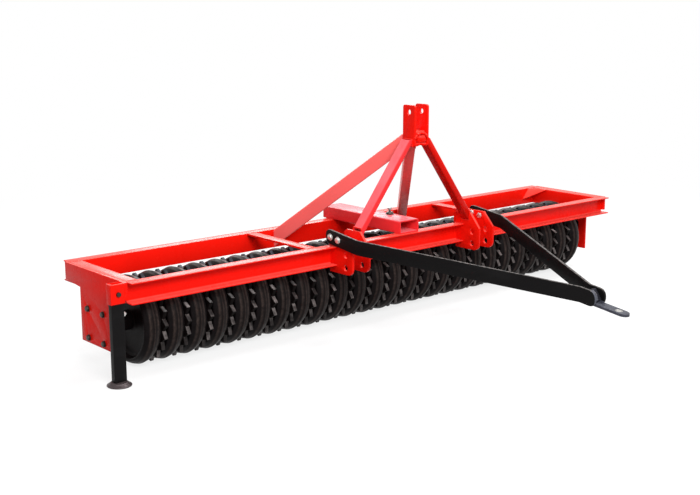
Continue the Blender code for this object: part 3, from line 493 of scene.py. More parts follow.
def black_paint(name, colour, rubbed=0.30):
    """Satin black paint with rubbed, dusty patches, and paler patches where it faces up that are partly wear
    and partly a painted highlight.
    """
    made = Nodes(name)
    rub = made.ramp(made.noise(9.0, 6.0, 0.65, (1.0, 0.25, 1.0)), 0.50, 0.78, 0.0, rubbed)
    base = made.mixed(rub, colour, (0.018, 0.017, 0.018))
    # Faces that look up turn paler grey in patches: partly wear, partly a painted highlight on the top
    # edges.
    worn = made.patches(60.0, 5.0, 0.7, 0.40, 0.60, 0.0, 1.0)
    edge = made.maths("MULTIPLY", made.ramp(made.rise, 0.60, 0.98), worn)
    base = made.mixed(edge, base, (0.115, 0.100, 0.095))
    speck = made.patches(260.0, 2.0, 0.5, 0.70, 0.78, 0.0, 0.25)
    base = made.mixed(speck, base, (0.060, 0.058, 0.058))
    rough = made.patches(22.0, 5.0, 0.6, 0.3, 0.7, 0.30, 0.44)
    height = made.maths("ADD", made.noise(340.0, 2.0), made.noise(45.0, 3.0))
    return made.finish(base, rough, height, 0.14, 0.0006, Specular_IOR_Level=0.07)


def cast_iron(name, colour, worn=0.0, gloss=0.030, sky_reflection=0.7, bright=(0.030, 0.022, 0.020),
              bands=(), turning=False):
    """Sand-cast iron: finely pitted, brown-black, with a painted bluish sky reflection where it faces up or,
    if it turns, faintly all over.
    """
    made = Nodes(name)
    tone = made.patches(30.0, 6.0, 0.6, 0.30, 0.72)
    base = made.mixed(tone, scaled(colour, 0.75), scaled(colour, 1.30))
    rust = made.patches(75.0, 5.0, 0.7, 0.60, 0.78, 0.0, 0.30)
    base = made.mixed(rust, base, (0.014, 0.007, 0.005))
    # Rubbed patches turn the iron paler brown: partly wear, partly a painted highlight, kept to bands at the
    # crest and the shoulder when bands are given.
    if worn:
        rubbed = made.patches(58.0, 5.0, 0.65, 0.36, 0.66, worn * 0.30, worn)
        if bands:
            marks = []
            for radius, width in bands:
                offset = made.maths("SUBTRACT", made.reach(), radius)
                marks.append(made.ramp(made.maths("ABSOLUTE", offset, 0.0), width, 0.0))
            rubbed = made.maths("MULTIPLY", rubbed, made.maths("MAXIMUM", marks[0], marks[-1]))
        else:
            rubbed = made.maths("MULTIPLY", rubbed, made.patches(13.0, 2.0, 0.5, 0.40, 0.60, 0.15, 1.0))
        base = made.mixed(rubbed, base, bright)
    # A patchy bluish tint where faces look up, or faintly everywhere on turning pieces: a painted sky
    # reflection.
    patch = made.patches(42.0, 5.0, 0.6, 0.34, 0.66, 0.1 * sky_reflection, sky_reflection)
    painted_sky_reflection = made.maths("MULTIPLY", 0.025 if turning else made.ramp(made.rise, 0.50, 0.95), patch)
    base = made.mixed(painted_sky_reflection, base, (0.070, 0.076, 0.098))
    rough = made.patches(60.0, 5.0, 0.6, 0.3, 0.7, 0.32, 0.46)
    pits = made.ramp(made.cells(420.0), 0.0, 0.5)
    height = made.maths("ADD", made.noise(190.0, 4.0, 0.6), made.maths("MULTIPLY", pits, 0.5))
    return made.finish(base, rough, height, 0.22, 0.0008, Specular_IOR_Level=gloss)


def plated(name, colour, dark=0.6):
    """Metal plating with fine scratches and stains."""
    made = Nodes(name)
    stain = made.patches(130.0, 5.0, 0.65, 0.40, 0.72)
    base = made.mixed(stain, colour, scaled(colour, dark))
    rough = made.patches(90.0, 5.0, 0.6, 0.3, 0.7, 0.34, 0.52)
    height = made.noise(600.0, 2.0, 0.5, (1.0, 1.0, 0.1))
    return made.finish(base, rough, height, 0.20, 0.0004, metallic=1.0)


def grey_steel(name, colour):
    """Bare hot-rolled steel: mill scale with rubbed lighter patches."""
    made = Nodes(name)
    scale_mark = made.patches(24.0, 6.0, 0.7, 0.38, 0.66)
    base = made.mixed(scale_mark, scaled(colour, 0.80), scaled(colour, 1.25))
    rub = made.ramp(made.noise(75.0, 4.0, 0.6, (1.0, 0.3, 1.0)), 0.55, 0.75, 0.0, 0.5)
    base = made.mixed(rub, base, scaled(colour, 1.9))
    rough = made.patches(50.0, 5.0, 0.6, 0.3, 0.7, 0.34, 0.52)
    height = made.maths("ADD", made.noise(220.0, 4.0, 0.6), made.noise(40.0, 3.0))
    return made.finish(base, rough, height, 0.25, 0.0008, metallic=0.5, Specular_IOR_Level=0.3)


FINISH = {}


class ROLLER_OT_finishes(bpy.types.Operator):
    """Make the roller's materials"""

    bl_idname = "roller.finishes"
    bl_label = "Finishes"

    def execute(self, context):
        paint = context.scene.roller_paint
        # The third value of a red paint sets the strength of its painted pink highlight on faces that look
        # up.
        FINISH["red"] = red_paint("red_enamel", tuple(paint.red))
        FINISH["weld"] = red_paint("red_enamel_on_weld", tuple(paint.red), 0.40, weld=True)
        FINISH["brace"] = red_paint("red_enamel_chalked", tuple(paint.chalked))
        FINISH["tube"] = red_paint("red_enamel_on_tube", tuple(paint.tube), 1.0,
                                   highlight_colour=(0.78, 0.155, 0.180))
        # A darker copy of the red for the right mast: painted shade.
        FINISH["shade"] = red_paint("red_enamel_deep", scaled(tuple(paint.red), 0.66), 0.75)
        FINISH["black"] = black_paint("satin_black", tuple(paint.black))
        # A paler bluish grey for the left arm's nose end and its cheek seam: a painted highlight.
        FINISH["cut"] = black_paint("satin_black_cut_edge", (0.080, 0.083, 0.102), 0.15)
        FINISH["iron"] = cast_iron("cast_iron", tuple(paint.iron))
        # Pale bands at the ridged rings' crest and shoulder: partly wear, partly a painted highlight.
        ridge = context.scene.roller_shape.ring_ridge
        bands = ((RING_RADIUS, 0.0025), (RING_RADIUS - ridge * (1 - SHOULDER), 0.0035))
        FINISH["worn"] = cast_iron("cast_iron_crest", tuple(paint.iron), 0.70, 0.040, 0.9,
                                   (0.062, 0.044, 0.038), bands, turning=True)
        # Bright polished flanks on the toothed rings: partly wear, partly a painted glint.
        FINISH["tooth"] = cast_iron("cast_iron_tooth", tuple(paint.iron), 0.90, 0.10, 0.1,
                                    (0.175, 0.152, 0.148), turning=True)
        FINISH["zinc"] = plated("zinc_plating", tuple(paint.zinc))
        FINISH["dark"] = plated("blackened_bolt", (0.060, 0.052, 0.046), 0.45)
        FINISH["steel"] = grey_steel("mill_scale_steel", tuple(paint.steel))
        FINISH["tow"] = grey_steel("blued_steel", (0.043, 0.045, 0.060))
        FINISH["slate"] = grey_steel("slate_steel", (0.024, 0.023, 0.031))
        FINISH["stud"] = plated("dull_zinc", (0.34, 0.34, 0.33), 0.5)
        return {"FINISHED"}


# Fasteners

def hexagon(name, seat, radius, height, axis, chamfer=0.85):
    """A hexagon head or nut whose corners are turned down, from its seat outwards."""
    slope = 0.55
    along = AXES[axis] * (1 if height > 0 else -1)
    head = cylinder(name, radius, seat, height, axis, 6)
    inner = radius * chamfer
    depth = abs(height) * 1.3
    cone = primitive(
        name + "_cone", bpy.ops.mesh.primitive_cone_add, vertices=36, radius1=inner + depth / slope,
        radius2=inner, depth=depth, location=Vector(seat) + along * (abs(height) - depth / 2 + HAIR),
        rotation=along.to_track_quat("Z", "Y").to_euler())
    return softened(combined(head, cone, "INTERSECT"), 0.0004, 1, 40)


def threaded(name, centre, radius, length, axis, pitch=0.0020):
    """A threaded end: a rod whose profile rises and falls by the thread, chamfered at its tip."""
    count = max(3, int(abs(length) / pitch))
    sign = 1 if length > 0 else -1
    depth = pitch * 0.5
    profile = [(0, 0), (0, radius - depth)]
    for index in range(count):
        base = index * abs(length) / count
        profile.append((sign * (base + 0.25 * pitch), radius - depth))
        profile.append((sign * (base + 0.60 * pitch), radius))
    profile += [(sign * abs(length), radius - 1.6 * depth), (sign * abs(length), 0)]
    return turned(name, profile, 24, centre, axis)


def washer(name, centre, inner, outer, thickness, axis):
    """A flat washer."""
    profile = [(0, inner), (0, outer), (thickness, outer), (thickness, inner), (0, inner)]
    return softened(turned(name, profile, 40, centre, axis), 0.0003, 1, 40)


def merged(name, pieces):
    """Several solids as one piece."""
    only(pieces[0])
    for piece in pieces[1:]:
        piece.select_set(True)
    bpy.ops.object.join()
    bpy.context.object.name = name
    return bpy.context.object


class ROLLER_OT_fasteners(bpy.types.Operator):
    """Make the drawbar's bolts, the receiver's bolt and the leg's clamp bolt"""

    bl_idname = "roller.fasteners"
    bl_label = "Fasteners"

    def execute(self, context):
        for side_name, side in SIDES:
            for place in ("rear", "front"):
                self.drawbar_bolt(f"drawbar_bolt_{side_name}_{place}", side)

        head_height, gap = 0.010, 0.0001
        low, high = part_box("receiver_bolt")
        x, y, seat = (low.x + high.x) / 2, (low.y + high.y) / 2, high.z - head_height
        head = hexagon("receiver_bolt_head", (x, y, seat), 0.01225, head_height, "Z")
        length = low.z - high.z + head_height
        shank = threaded("receiver_bolt_thread", (x, y, seat - gap), 0.0069, length, "Z", 0.0022)
        settled(merged("receiver_clamp_bolt", [head, shank]), [FINISH["stud"]],
                "zinc_plate", "receiver_screw", "receiver_bolt")
        nut_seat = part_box("receiver_tube")[1].z - RECEIVER_NUT
        flange = washer("receiver_nut_flange", (x, y, nut_seat - 0.0002), 0.0150, 0.0230, 0.0035, "Z")
        settled(flange, [FINISH["dark"]], "blackened_steel", "frame")

        low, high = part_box("leg_clamp_bolt")
        x, seat, z = (low.x + high.x) / 2, low.y + head_height, (low.z + high.z) / 2
        head = hexagon("leg_bolt_head", (x, seat, z), 0.0105, -head_height, "Y")
        length = high.y - low.y - head_height
        shank = threaded("leg_bolt_thread", (x, seat + gap, z), 0.0059, length, "Y", 0.0018)
        settled(merged("leg_pinch_bolt", [head, shank]), [FINISH["dark"]],
                "blackened_steel", "leg_screw", "leg_clamp_bolt")
        return {"FINISHED"}

    def drawbar_bolt(self, node, side):
        """A bolt through an arm and a link plate, with its head and washer outside and its nut inside."""
        head, under, nut, shank, end = 0.0077, 0.0098, 0.0092, 0.0079, 0.0030
        low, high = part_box(node)
        y, z = (low.y + high.y) / 2, (low.z + high.z) / 2
        inner, outer = (low.x, high.x) if side > 0 else (high.x, low.x)
        radius = min((high.y - low.y) / 2, 0.014)
        length, tip = outer - inner - side * 2 * end, inner + side * (end - 0.0001)
        parts = [
            hexagon(node + "_hex", (outer - side * (head + 0.0001), y, z), radius, side * head, "X"),
            washer(node + "_washer", (outer - side * under, y, z), 0.0083, 0.0168, side * 0.0019, "X"),
            hexagon(node + "_nut", (inner + side * (nut + 0.0020), y, z), radius + 0.001, -side * nut, "X"),
            cylinder(node + "_shank", shank, (inner + side * end, y, z), length, "X", 32),
            threaded(node + "_end", (tip, y, z), shank, -side * 0.0028, "X", 0.0018)]
        settled(merged(node + "_set", parts), [FINISH["zinc"]], "zinc_plate", "frame", node)


# Frame, headstock, drawbar and leg

class ROLLER_OT_frame(bpy.types.Operator):
    """Finish the channels, strips, gusset and side plates"""

    bl_idname = "roller.frame"
    bl_label = "Frame"

    def execute(self, context):
        shape = context.scene.roller_shape
        for node, least in (("front_beam", 2.0), ("rear_beam", 2.0),
                            ("end_channel_left", 0.40), ("end_channel_right", 0.40)):
            piece = copied(node, node + "_rolled")
            long_edges_rounded(piece, least, shape.root_fillet, 5, hollow=True)
            red_piece(softened(piece, shape.edge_round * 1.4, 3), node)
        for node in ("cross_member_left", "cross_member_right", "corner_gusset",
                     "side_plate_left", "side_plate_right"):
            red_piece(softened(copied(node, node + "_cut"), shape.edge_round, 3), node)
        return {"FINISHED"}


def red_piece(piece, node, *finishes):
    """Give a piece of the frame its red paint, or other finishes, and let it stand for its node."""
    return settled(piece, finishes or [FINISH["red"]], "red_paint", "frame", node)


def drilled(piece, node, places, radius):
    """Cut round holes through a plate that stands across X."""
    low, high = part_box(node)
    for y, z in places:
        cutter = cylinder("drill", radius, (low.x - 0.01, y, z), high.x - low.x + 0.02, "X", 40)
        combined(piece, cutter, "DIFFERENCE")
    return flatten(piece, 4 * HAIR)


class ROLLER_OT_headstock(bpy.types.Operator):
    """Finish the masts, the braces and the link plates"""

    bl_idname = "roller.headstock"
    bl_label = "Headstock"

    def execute(self, context):
        shape = context.scene.roller_shape
        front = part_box("front_beam")[0].y
        pins = [(front - PIN_AHEAD, FRAME_TOP - drop) for drop in PIN_DROPS]
        for side in ("left", "right"):
            for place in ("outer", "inner"):
                node = f"hitch_plate_{side}_{place}"
                piece = drilled(copied(node, node + "_cut"), node, pins, LINK_PIN)
                red_piece(softened(piece, shape.edge_round, 3), node)
            self.upper_plate(f"clevis_plate_{side}", shape.edge_round)
            # The right mast takes the darker copy of the red: painted shade.
            tube = "tube" if side == "left" else "shade"
            for node, least, finish in ((f"mast_{side}", 0.2, tube), (f"brace_{side}", 0.3, "brace")):
                piece = copied(node, node + "_tube")
                long_edges_rounded(piece, least, shape.tube_corner, 5)
                red_piece(softened(piece, shape.edge_round * 0.7, 2), node, FINISH[finish])
        settled(self.knob(), [FINISH["weld"]], "red_paint", "frame", smooth=60)
        node = "receiver_tube"
        nut_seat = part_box(node)[1].z - RECEIVER_NUT
        piece = long_edges_rounded(copied(node, node + "_section"), 0.3, shape.tube_corner, 5)
        red_piece(softened(piece, shape.edge_round * 0.6, 2), node, FINISH["tube"], FINISH["dark"])
        coated(piece, 1, lambda face: face.center.z > nut_seat + 0.0002)
        return {"FINISHED"}

    def upper_plate(self, node, edge_round):
        """An upper link plate, with the rounded front of the block that one of them carries."""
        low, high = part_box(node)
        middle_y = (low.y + high.y) / 2
        piece = drilled(copied(node, node + "_cut"), node, [(middle_y, high.z - TOP_PIN_DROP)], TOP_PIN)
        if high.x - low.x > 0.02:
            along = crosswise(0.05)
            edges_rounded(piece, lambda edge: along(edge) and edge.verts[0].co.y < middle_y, 0.013, 6)
        red_piece(softened(piece, edge_round, 3), node)

    def knob(self):
        """The thick weld that joins the masts' heads between the upper plates."""
        low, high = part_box("clevis_plate_left")[0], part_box("clevis_plate_right")[1]
        middle_x, front = (low.x + high.x) / 2, low.y
        centre = Vector((middle_x + 0.004, front + 0.010, low.z + 0.030))
        piece = primitive("headstock_knob", bpy.ops.mesh.primitive_cube_add, size=1, location=centre,
                          scale=(0.056, 0.034, 0.036))
        edges_rounded(piece, lambda edge: True, 0.0165, 8)
        for vertex in piece.data.vertices:
            lump = noise.noise(vertex.co * 60.0) + 0.5 * noise.noise(vertex.co * 140.0)
            vertex.co += (vertex.co - centre).normalized() * 0.0030 * lump
        arch = [(middle_x + u, front + 0.001, low.z + v) for u, v in (
            (-0.047, 0.034), (-0.030, 0.053), (-0.006, 0.062),
            (0.020, 0.058), (0.038, 0.044), (0.047, 0.026))]
        cords = [bead("headstock_arch", start, end, 0.0150, (0, 1, 0)) for start, end in zip(arch, arch[1:])]
        return merged("headstock_knob", [piece, *cords])


class ROLLER_OT_drawbar(bpy.types.Operator):
    """Finish the two arms and the tow plate"""

    bl_idname = "roller.drawbar"
    bl_label = "Drawbar"

    def execute(self, context):
        edge_round = context.scene.roller_shape.edge_round
        for side in ("left", "right"):
            node = f"drawbar_arm_{side}"
            piece = softened(copied(node, node + "_bar"), edge_round, 3)
            settled(piece, [FINISH["black"], FINISH["cut"]], "black_paint", "frame", node)
            # The left arm's nose end takes the paler grey: a painted highlight.
            if side == "left":
                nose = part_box(node)[0].y + 0.022
                coated(piece, 1, lambda face: face.center.y < nose and abs(face.normal.x) < 0.6)

        piece = copied("tow_plate", "tow_plate_bar")
        low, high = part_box("tow_plate")
        middle_x = (low.x + high.x) / 2
        hole = Vector((middle_x, low.y + 0.050, low.z - 0.01))
        cutter = cylinder("drill", TOW_EYE, hole, high.z - low.z + 0.02, "Z", 40)
        combined(piece, cutter, "DIFFERENCE")
        piece = softened(piece, edge_round * 1.5, 3)
        settled(piece, [FINISH["tow"], FINISH["zinc"]], "grey_steel", "frame", "tow_plate")
        rim = TOW_EYE + 0.002
        coated(piece, 1, lambda face: (face.center - hole).xy.length < rim and abs(face.normal.z) < 0.8)
        self.tow_welds(low, high, middle_x)
        return {"FINISHED"}

    def tow_welds(self, low, high, middle_x):
        """The sloping plate between the arms' noses, and the seams round it and along the tow plate."""
        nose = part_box("drawbar_arm_left")[0].y
        cheek = low.x + 0.003
        seams = []
        for start, end, width in (((0.030, 0.088), (0.007, 0.074), 0.0120),
                                  ((0.008, 0.076), (0.002, 0.046), 0.0130)):
            ends = [(cheek, nose + behind, low.z + above) for behind, above in (start, end)]
            seams.append(bead("cheek_seam", *ends, width))
        # The cheek seams take the same paler grey: a painted highlight.
        settled(merged("nose_cheek_weld", seams), [FINISH["cut"]], "grey_steel", "frame", smooth=50)
        web = primitive(
            "nose_web_plate", bpy.ops.mesh.primitive_cube_add, size=1, rotation=(-0.62, 0, 0),
            location=(middle_x, nose + 0.034, low.z + 0.062), scale=(high.x - low.x - 0.0006, 0.008, 0.058))
        settled(softened(web, 0.003, 4), [FINISH["slate"]], "grey_steel", "frame")
        rise = (high.z - low.z - 0.012) / (high.y - low.y)
        start = nose + 0.002
        foot = high.z - (high.y - start) * rise
        seams = []
        for x in (low.x, high.x):
            seams.append(bead("tow_seam", (x, start, foot), (x, high.y - 0.002, high.z), 0.0075))
        settled(merged("tow_plate_welds", seams), [FINISH["tow"]], "grey_steel", "frame", smooth=50)


class ROLLER_OT_leg(bpy.types.Operator):
    """Finish the parking leg, its socket and its foot"""

    bl_idname = "roller.leg"
    bl_label = "Parking leg"

    def execute(self, context):
        edge_round = context.scene.roller_shape.edge_round * 0.6
        piece = long_edges_rounded(copied("leg_socket", "leg_socket_tube"), 0.06, 0.0036, 4)
        red_piece(softened(piece, edge_round, 2), "leg_socket")
        piece = long_edges_rounded(copied("stand_leg", "stand_leg_tube"), 0.2, 0.0042, 4)
        settled(softened(piece, edge_round, 2), [FINISH["black"], FINISH["stud"]],
                "black_paint", "parking_leg", "stand_leg")
        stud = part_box("stand_leg")[1].x - 0.0118
        coated(piece, 1, lambda face: face.center.x > stud)
        seat = (stud + 0.0001, middle("stand_leg").y - 0.007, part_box("leg_socket")[0].z - 0.048)
        nut = hexagon("stand_stud_nut", seat, 0.0108, 0.0062, "X")
        settled(nut, [FINISH["zinc"]], "zinc_plate", "parking_leg")

        low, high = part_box("stand_foot")
        centre = (low + high) / 2
        radius, height = (high.x - low.x) / 2, high.z - low.z
        corners = [
            (height, 0), (height, 0.030), (height * 0.93, 0.0385), (height * 0.55, radius * 0.82),
            (height * 0.33, radius), (0.0022, radius), (0, radius - 0.004), (0, 0)]
        profile = rounded_profile(corners, [0, 0.004, 0.005, 0.008, 0.003, 0.002, 0.002, 0], 4)
        piece = turned("stand_foot_pressing", profile, 72, (centre.x, centre.y, low.z), "Z")
        settled(piece, [FINISH["steel"]], "grey_steel", "parking_leg", "stand_foot")
        return {"FINISHED"}


# Rolling gear

class ROLLER_OT_bearings(bpy.types.Operator):
    """Make the flange bearings with their bolts"""

    bl_idname = "roller.bearings"
    bl_label = "Bearings"

    def execute(self, context):
        for side_name, side in SIDES:
            low, high = PLATE[side]
            inner, outer = (high.x, low.x) if side < 0 else (low.x, high.x)
            face, seat = inner - side * SEAT_GAP, outer + side * SEAT_GAP
            self.housing(f"bearing_housing_{side_name}", side, face)
            self.bolts(side_name, side, face, seat)
        return {"FINISHED"}

    def housing(self, node, side, face):
        """A square flange with a turned hub."""
        thick, wide = 0.016, 0.166
        flange = primitive(
            node + "_casting", bpy.ops.mesh.primitive_cube_add, size=1,
            location=(face - side * thick / 2, AXLE.y, AXLE.z), scale=(thick, wide, wide))
        edges_rounded(flange, crosswise(0.01), 0.022, 6)
        corners = [
            (0.012, 0.026), (0.012, 0.070), (0.016, 0.066), (0.030, 0.058),
            (0.062, 0.056), (0.0656, 0.052), (0.0656, 0.046), (0.062, 0.044),
            (0.062, 0.0285), (0.0656, 0.0285), (0.0656, 0.026), (0.012, 0.026)]
        radii = [0, 0.001, 0.002, 0.004, 0.003, 0.002, 0.001, 0.0008, 0.0008, 0.0006, 0.0006, 0]
        profile = [(-side * u, v) for u, v in rounded_profile(corners, radii, 2)]
        hub = turned(node + "_hub", profile, 64, (face, AXLE.y, AXLE.z))
        housing = merged(node + "_casting", [softened(flange, 0.0015, 2), hub])
        settled(housing, [FINISH["iron"]], "dark_cast_iron", "frame", node)

    def bolts(self, side_name, side, face, seat):
        """Four bolts through the side plate and the flange, each with its washer and nut."""
        parts = []
        reach, under, back = 0.067, 0.0018, 0.0161
        for index, (u, v) in enumerate(((-1, -1), (1, -1), (1, 1), (-1, 1))):
            y, z = AXLE.y + u * reach, AXLE.z + v * reach
            name = f"bearing_bolt_{side_name}_{index + 1}"
            parts += [
                washer(name + "_washer", (seat, y, z), 0.0070, 0.0148, side * under, "X"),
                hexagon(name + "_head", (seat + side * under, y, z), 0.0132, side * 0.0082, "X"),
                threaded(name + "_end", (face - side * (back + 0.0004), y, z), 0.0058, -side * 0.014, "X"),
                hexagon(name + "_nut", (face - side * back, y, z), 0.0112, -side * 0.009, "X")]
        settled(merged(f"bearing_bolts_{side_name}", parts), [FINISH["dark"]], "blackened_steel", "frame")


class ROLLER_OT_axle(bpy.types.Operator):
    """Make the shaft with its two lock collars"""

    bl_idname = "roller.axle"
    bl_label = "Axle"

    def execute(self, context):
        half, gang = span("axle_shaft").x / 2, span("ring_gang").x / 2
        shaft, collar, chamfer, room = 0.025, 0.036, 0.0015, 0.0003
        near, far = gang + room, gang + room + 0.024
        side = [
            (half, 0), (half, shaft - chamfer), (half - chamfer, shaft),
            (far, shaft), (far, collar - chamfer), (far - chamfer, collar),
            (near + chamfer, collar), (near, collar - chamfer), (near, shaft)]
        profile = side + [(-along, out) for along, out in reversed(side)]
        piece = turned("axle_shaft_turned", profile, 64, AXLE)
        settled(piece, [FINISH["steel"]], "grey_steel", "axle", "axle_shaft")
        return {"FINISHED"}


def outward(point):
    """The way from the axle's line to a point, square to that line."""
    return Vector((0, point.y - AXLE.y, point.z - AXLE.z))


def roughened(piece, size, scale, seed):
    """Move a casting's points slightly, as sand moulding does, kept inside its outline."""
    offset = Vector((seed * 7.3, seed * 1.7, seed * 3.1))
    for vertex in piece.data.vertices:
        radial = outward(vertex.co)
        if radial.length > 0.06:
            shift = (noise.noise(vertex.co * scale + offset) - 1.0) * size * 0.5
            vertex.co += radial.normalized() * shift
    return piece


def repeated(master, label, count, first):
    """Number a casting and its copies, each with its own mesh, and set them along the axle by the pitch."""
    for index in range(count):
        piece = master if index == count - 1 else master.copy()
        if piece is not master:
            piece.data = master.data.copy()
            bpy.context.scene.collection.objects.link(piece)
        piece.name = f"{label}_{index + 1:02d}"
        piece.data.name = piece.name
        piece.data.transform(Matrix.Translation((first + index * PITCH - AXLE.x, 0, 0)))
        yield piece, index


class ROLLER_OT_rings(bpy.types.Operator):
    """Cast the ridged rings"""

    bl_idname = "roller.rings"
    bl_label = "Ridged rings"

    def execute(self, context):
        shape = context.scene.roller_shape
        half = RING_WIDTH / 2
        edge = RING_RADIUS - shape.ring_ridge
        under = edge - shape.ring_rim
        hub, bore = 0.045, 0.0262
        shoulder = shape.ring_ridge * SHOULDER
        hub_half = PITCH / 2 - 0.00015
        corners = [
            (hub_half, bore), (hub_half, hub), (0.010, hub), (0.007, hub + 0.012), (0.006, 0.155),
            (0.012, under - 0.006), (half - 0.002, under), (half, under + 0.003), (half, edge - 0.003),
            (half - 0.003, edge + 0.0012), (half * 0.52, edge + shoulder), (0.0040, RING_RADIUS - 0.0012),
            (0, RING_RADIUS)]
        radii = [0, 0.001, 0.004, 0.006, 0.012, 0.006, 0.002, 0.002, 0.003, 0.004, 0.005, 0.003, 0]
        right = rounded_profile(corners, radii, 3)
        left = [(-u, v) for u, v in reversed(right[:-1])]
        master = turned("ridged_ring_01", right + left + [right[0]], shape.ring_steps, AXLE)
        first = middle(STARS[0]).x - PITCH / 2
        for piece, index in repeated(master, "ridged_ring", len(STARS) + 1, first):
            roughened(piece, 0.0009, 30.0, index + 1)
            settled(piece, [FINISH["worn"]], "dark_cast_iron", "axle", "ring_gang", smooth=40)
        return {"FINISHED"}


class ROLLER_OT_toothed_rings(bpy.types.Operator):
    """Cast the toothed rings"""

    bl_idname = "roller.toothed_rings"
    bl_label = "Toothed rings"

    def execute(self, context):
        shape = context.scene.roller_shape
        root = STAR_RADIUS - shape.tooth_depth
        master = self.casting(shape.tooth_count, root)
        for piece, index in repeated(master, "toothed_ring", len(STARS), middle(STARS[0]).x):
            roughened(piece, 0.0008, 34.0, index + 60)
            finishes = [FINISH["iron"], FINISH["tooth"]]
            settled(piece, finishes, "dark_cast_iron", "axle", STARS[index], smooth=35)
            coated(piece, 1, lambda face: self.flank(face, root))
        return {"FINISHED"}

    def flank(self, face, root):
        """Whether a face lies on the side of a tooth that the soil polishes and that takes a painted glint.
        """
        y, z = face.center.y - AXLE.y, face.center.z - AXLE.z
        reach = math.hypot(y, z)
        return reach > root - 0.002 and (face.normal.y * z - face.normal.z * y) / reach > 0.35

    def casting(self, teeth, root):
        """One toothed ring: its outline drawn in to the bore, thickened, and thinned at web and teeth."""
        piece = primitive(
            "toothed_ring_master", bpy.ops.mesh.primitive_circle_add, vertices=2 * teeth,
            radius=STAR_RADIUS, fill_type="NOTHING", location=AXLE, rotation=(0, math.pi / 2, 0))
        step = math.pi / teeth
        edit(piece)
        pick(piece, "verts", lambda vertex: round(
            math.atan2(vertex.co.z - AXLE.z, vertex.co.y - AXLE.y) / step) % 2 == 1)
        bpy.ops.transform.resize(value=(1, root / STAR_RADIUS, root / STAR_RADIUS), center_override=AXLE)
        bpy.ops.mesh.select_all(action="SELECT")
        leave()
        for vertex in piece.data.vertices:
            vertex.co.x = AXLE.x
        edit(piece)
        for radius in (0.160, 0.150, 0.072, 0.064, 0.0468):
            bpy.ops.mesh.extrude_region_move()
            work = bmesh.from_edit_mesh(piece.data)
            for vertex in work.verts:
                if vertex.select:
                    vertex.co = AXLE + outward(vertex.co).normalized() * radius
            bmesh.update_edit_mesh(piece.data)
        bpy.ops.mesh.select_all(action="SELECT")
        bpy.ops.mesh.remove_doubles(threshold=HAIR)
        bpy.ops.mesh.extrude_region_move(TRANSFORM_OT_translate={"value": (STAR_WIDTH, 0, 0)})
        mend()
        work = bmesh.from_edit_mesh(piece.data)
        tooth, web = root - 0.003, (0.070, 0.152)
        for vertex in work.verts:
            vertex.co.x -= STAR_WIDTH / 2
            out = math.hypot(vertex.co.y - AXLE.y, vertex.co.z - AXLE.z)
            if web[0] < out < web[1] or out > tooth:
                vertex.co.x = AXLE.x + (vertex.co.x - AXLE.x) * (0.62 if out > tooth else 0.42)
        bmesh.update_edit_mesh(piece.data)
        leave()
        softened(piece, 0.0016, 2, 28)
        return with_modifier(piece, "TRIANGULATE")


# Welds

def bead(name, start, end, width, lean=(0, 0, 1), ripple=0.0035):
    """A weld bead along a straight seam: a thin rounded cord that swells at each ripple."""
    corners = 8
    start, end = Vector(start), Vector(end)
    along = end - start
    count = max(6, int(along.length / ripple) * 2)
    piece = primitive(
        name, bpy.ops.mesh.primitive_circle_add, vertices=corners, radius=width * 0.5, fill_type="NGON")
    side = along.cross(Vector(lean)).normalized()
    up = side.cross(along).normalized()
    work = bmesh.new()
    rings = []
    for index in range(count + 1):
        t = index / count
        end_fade = min(1.0, 4 * min(t, 1 - t) * along.length / width + 0.35)
        swell = (1.0 if index % 2 else 0.86) * end_fade
        swell *= 1 + 0.10 * noise.noise(Vector((index * 0.37, along.length * 9, 0)))
        ring = []
        for corner in range(corners):
            angle = 2 * math.pi * corner / corners
            spot = start + along * t + (side * math.cos(angle) + up * math.sin(angle)) * width * 0.5 * swell
            ring.append(work.verts.new(spot))
        rings.append(ring)
    for first, second in zip(rings, rings[1:]):
        for corner in range(corners):
            after = (corner + 1) % corners
            work.faces.new((first[corner], first[after], second[after], second[corner]))
    work.faces.new(list(reversed(rings[0])))
    work.faces.new(rings[-1])
    bmesh.ops.recalc_face_normals(work, faces=work.faces)
    work.to_mesh(piece.data)
    work.free()
    return piece


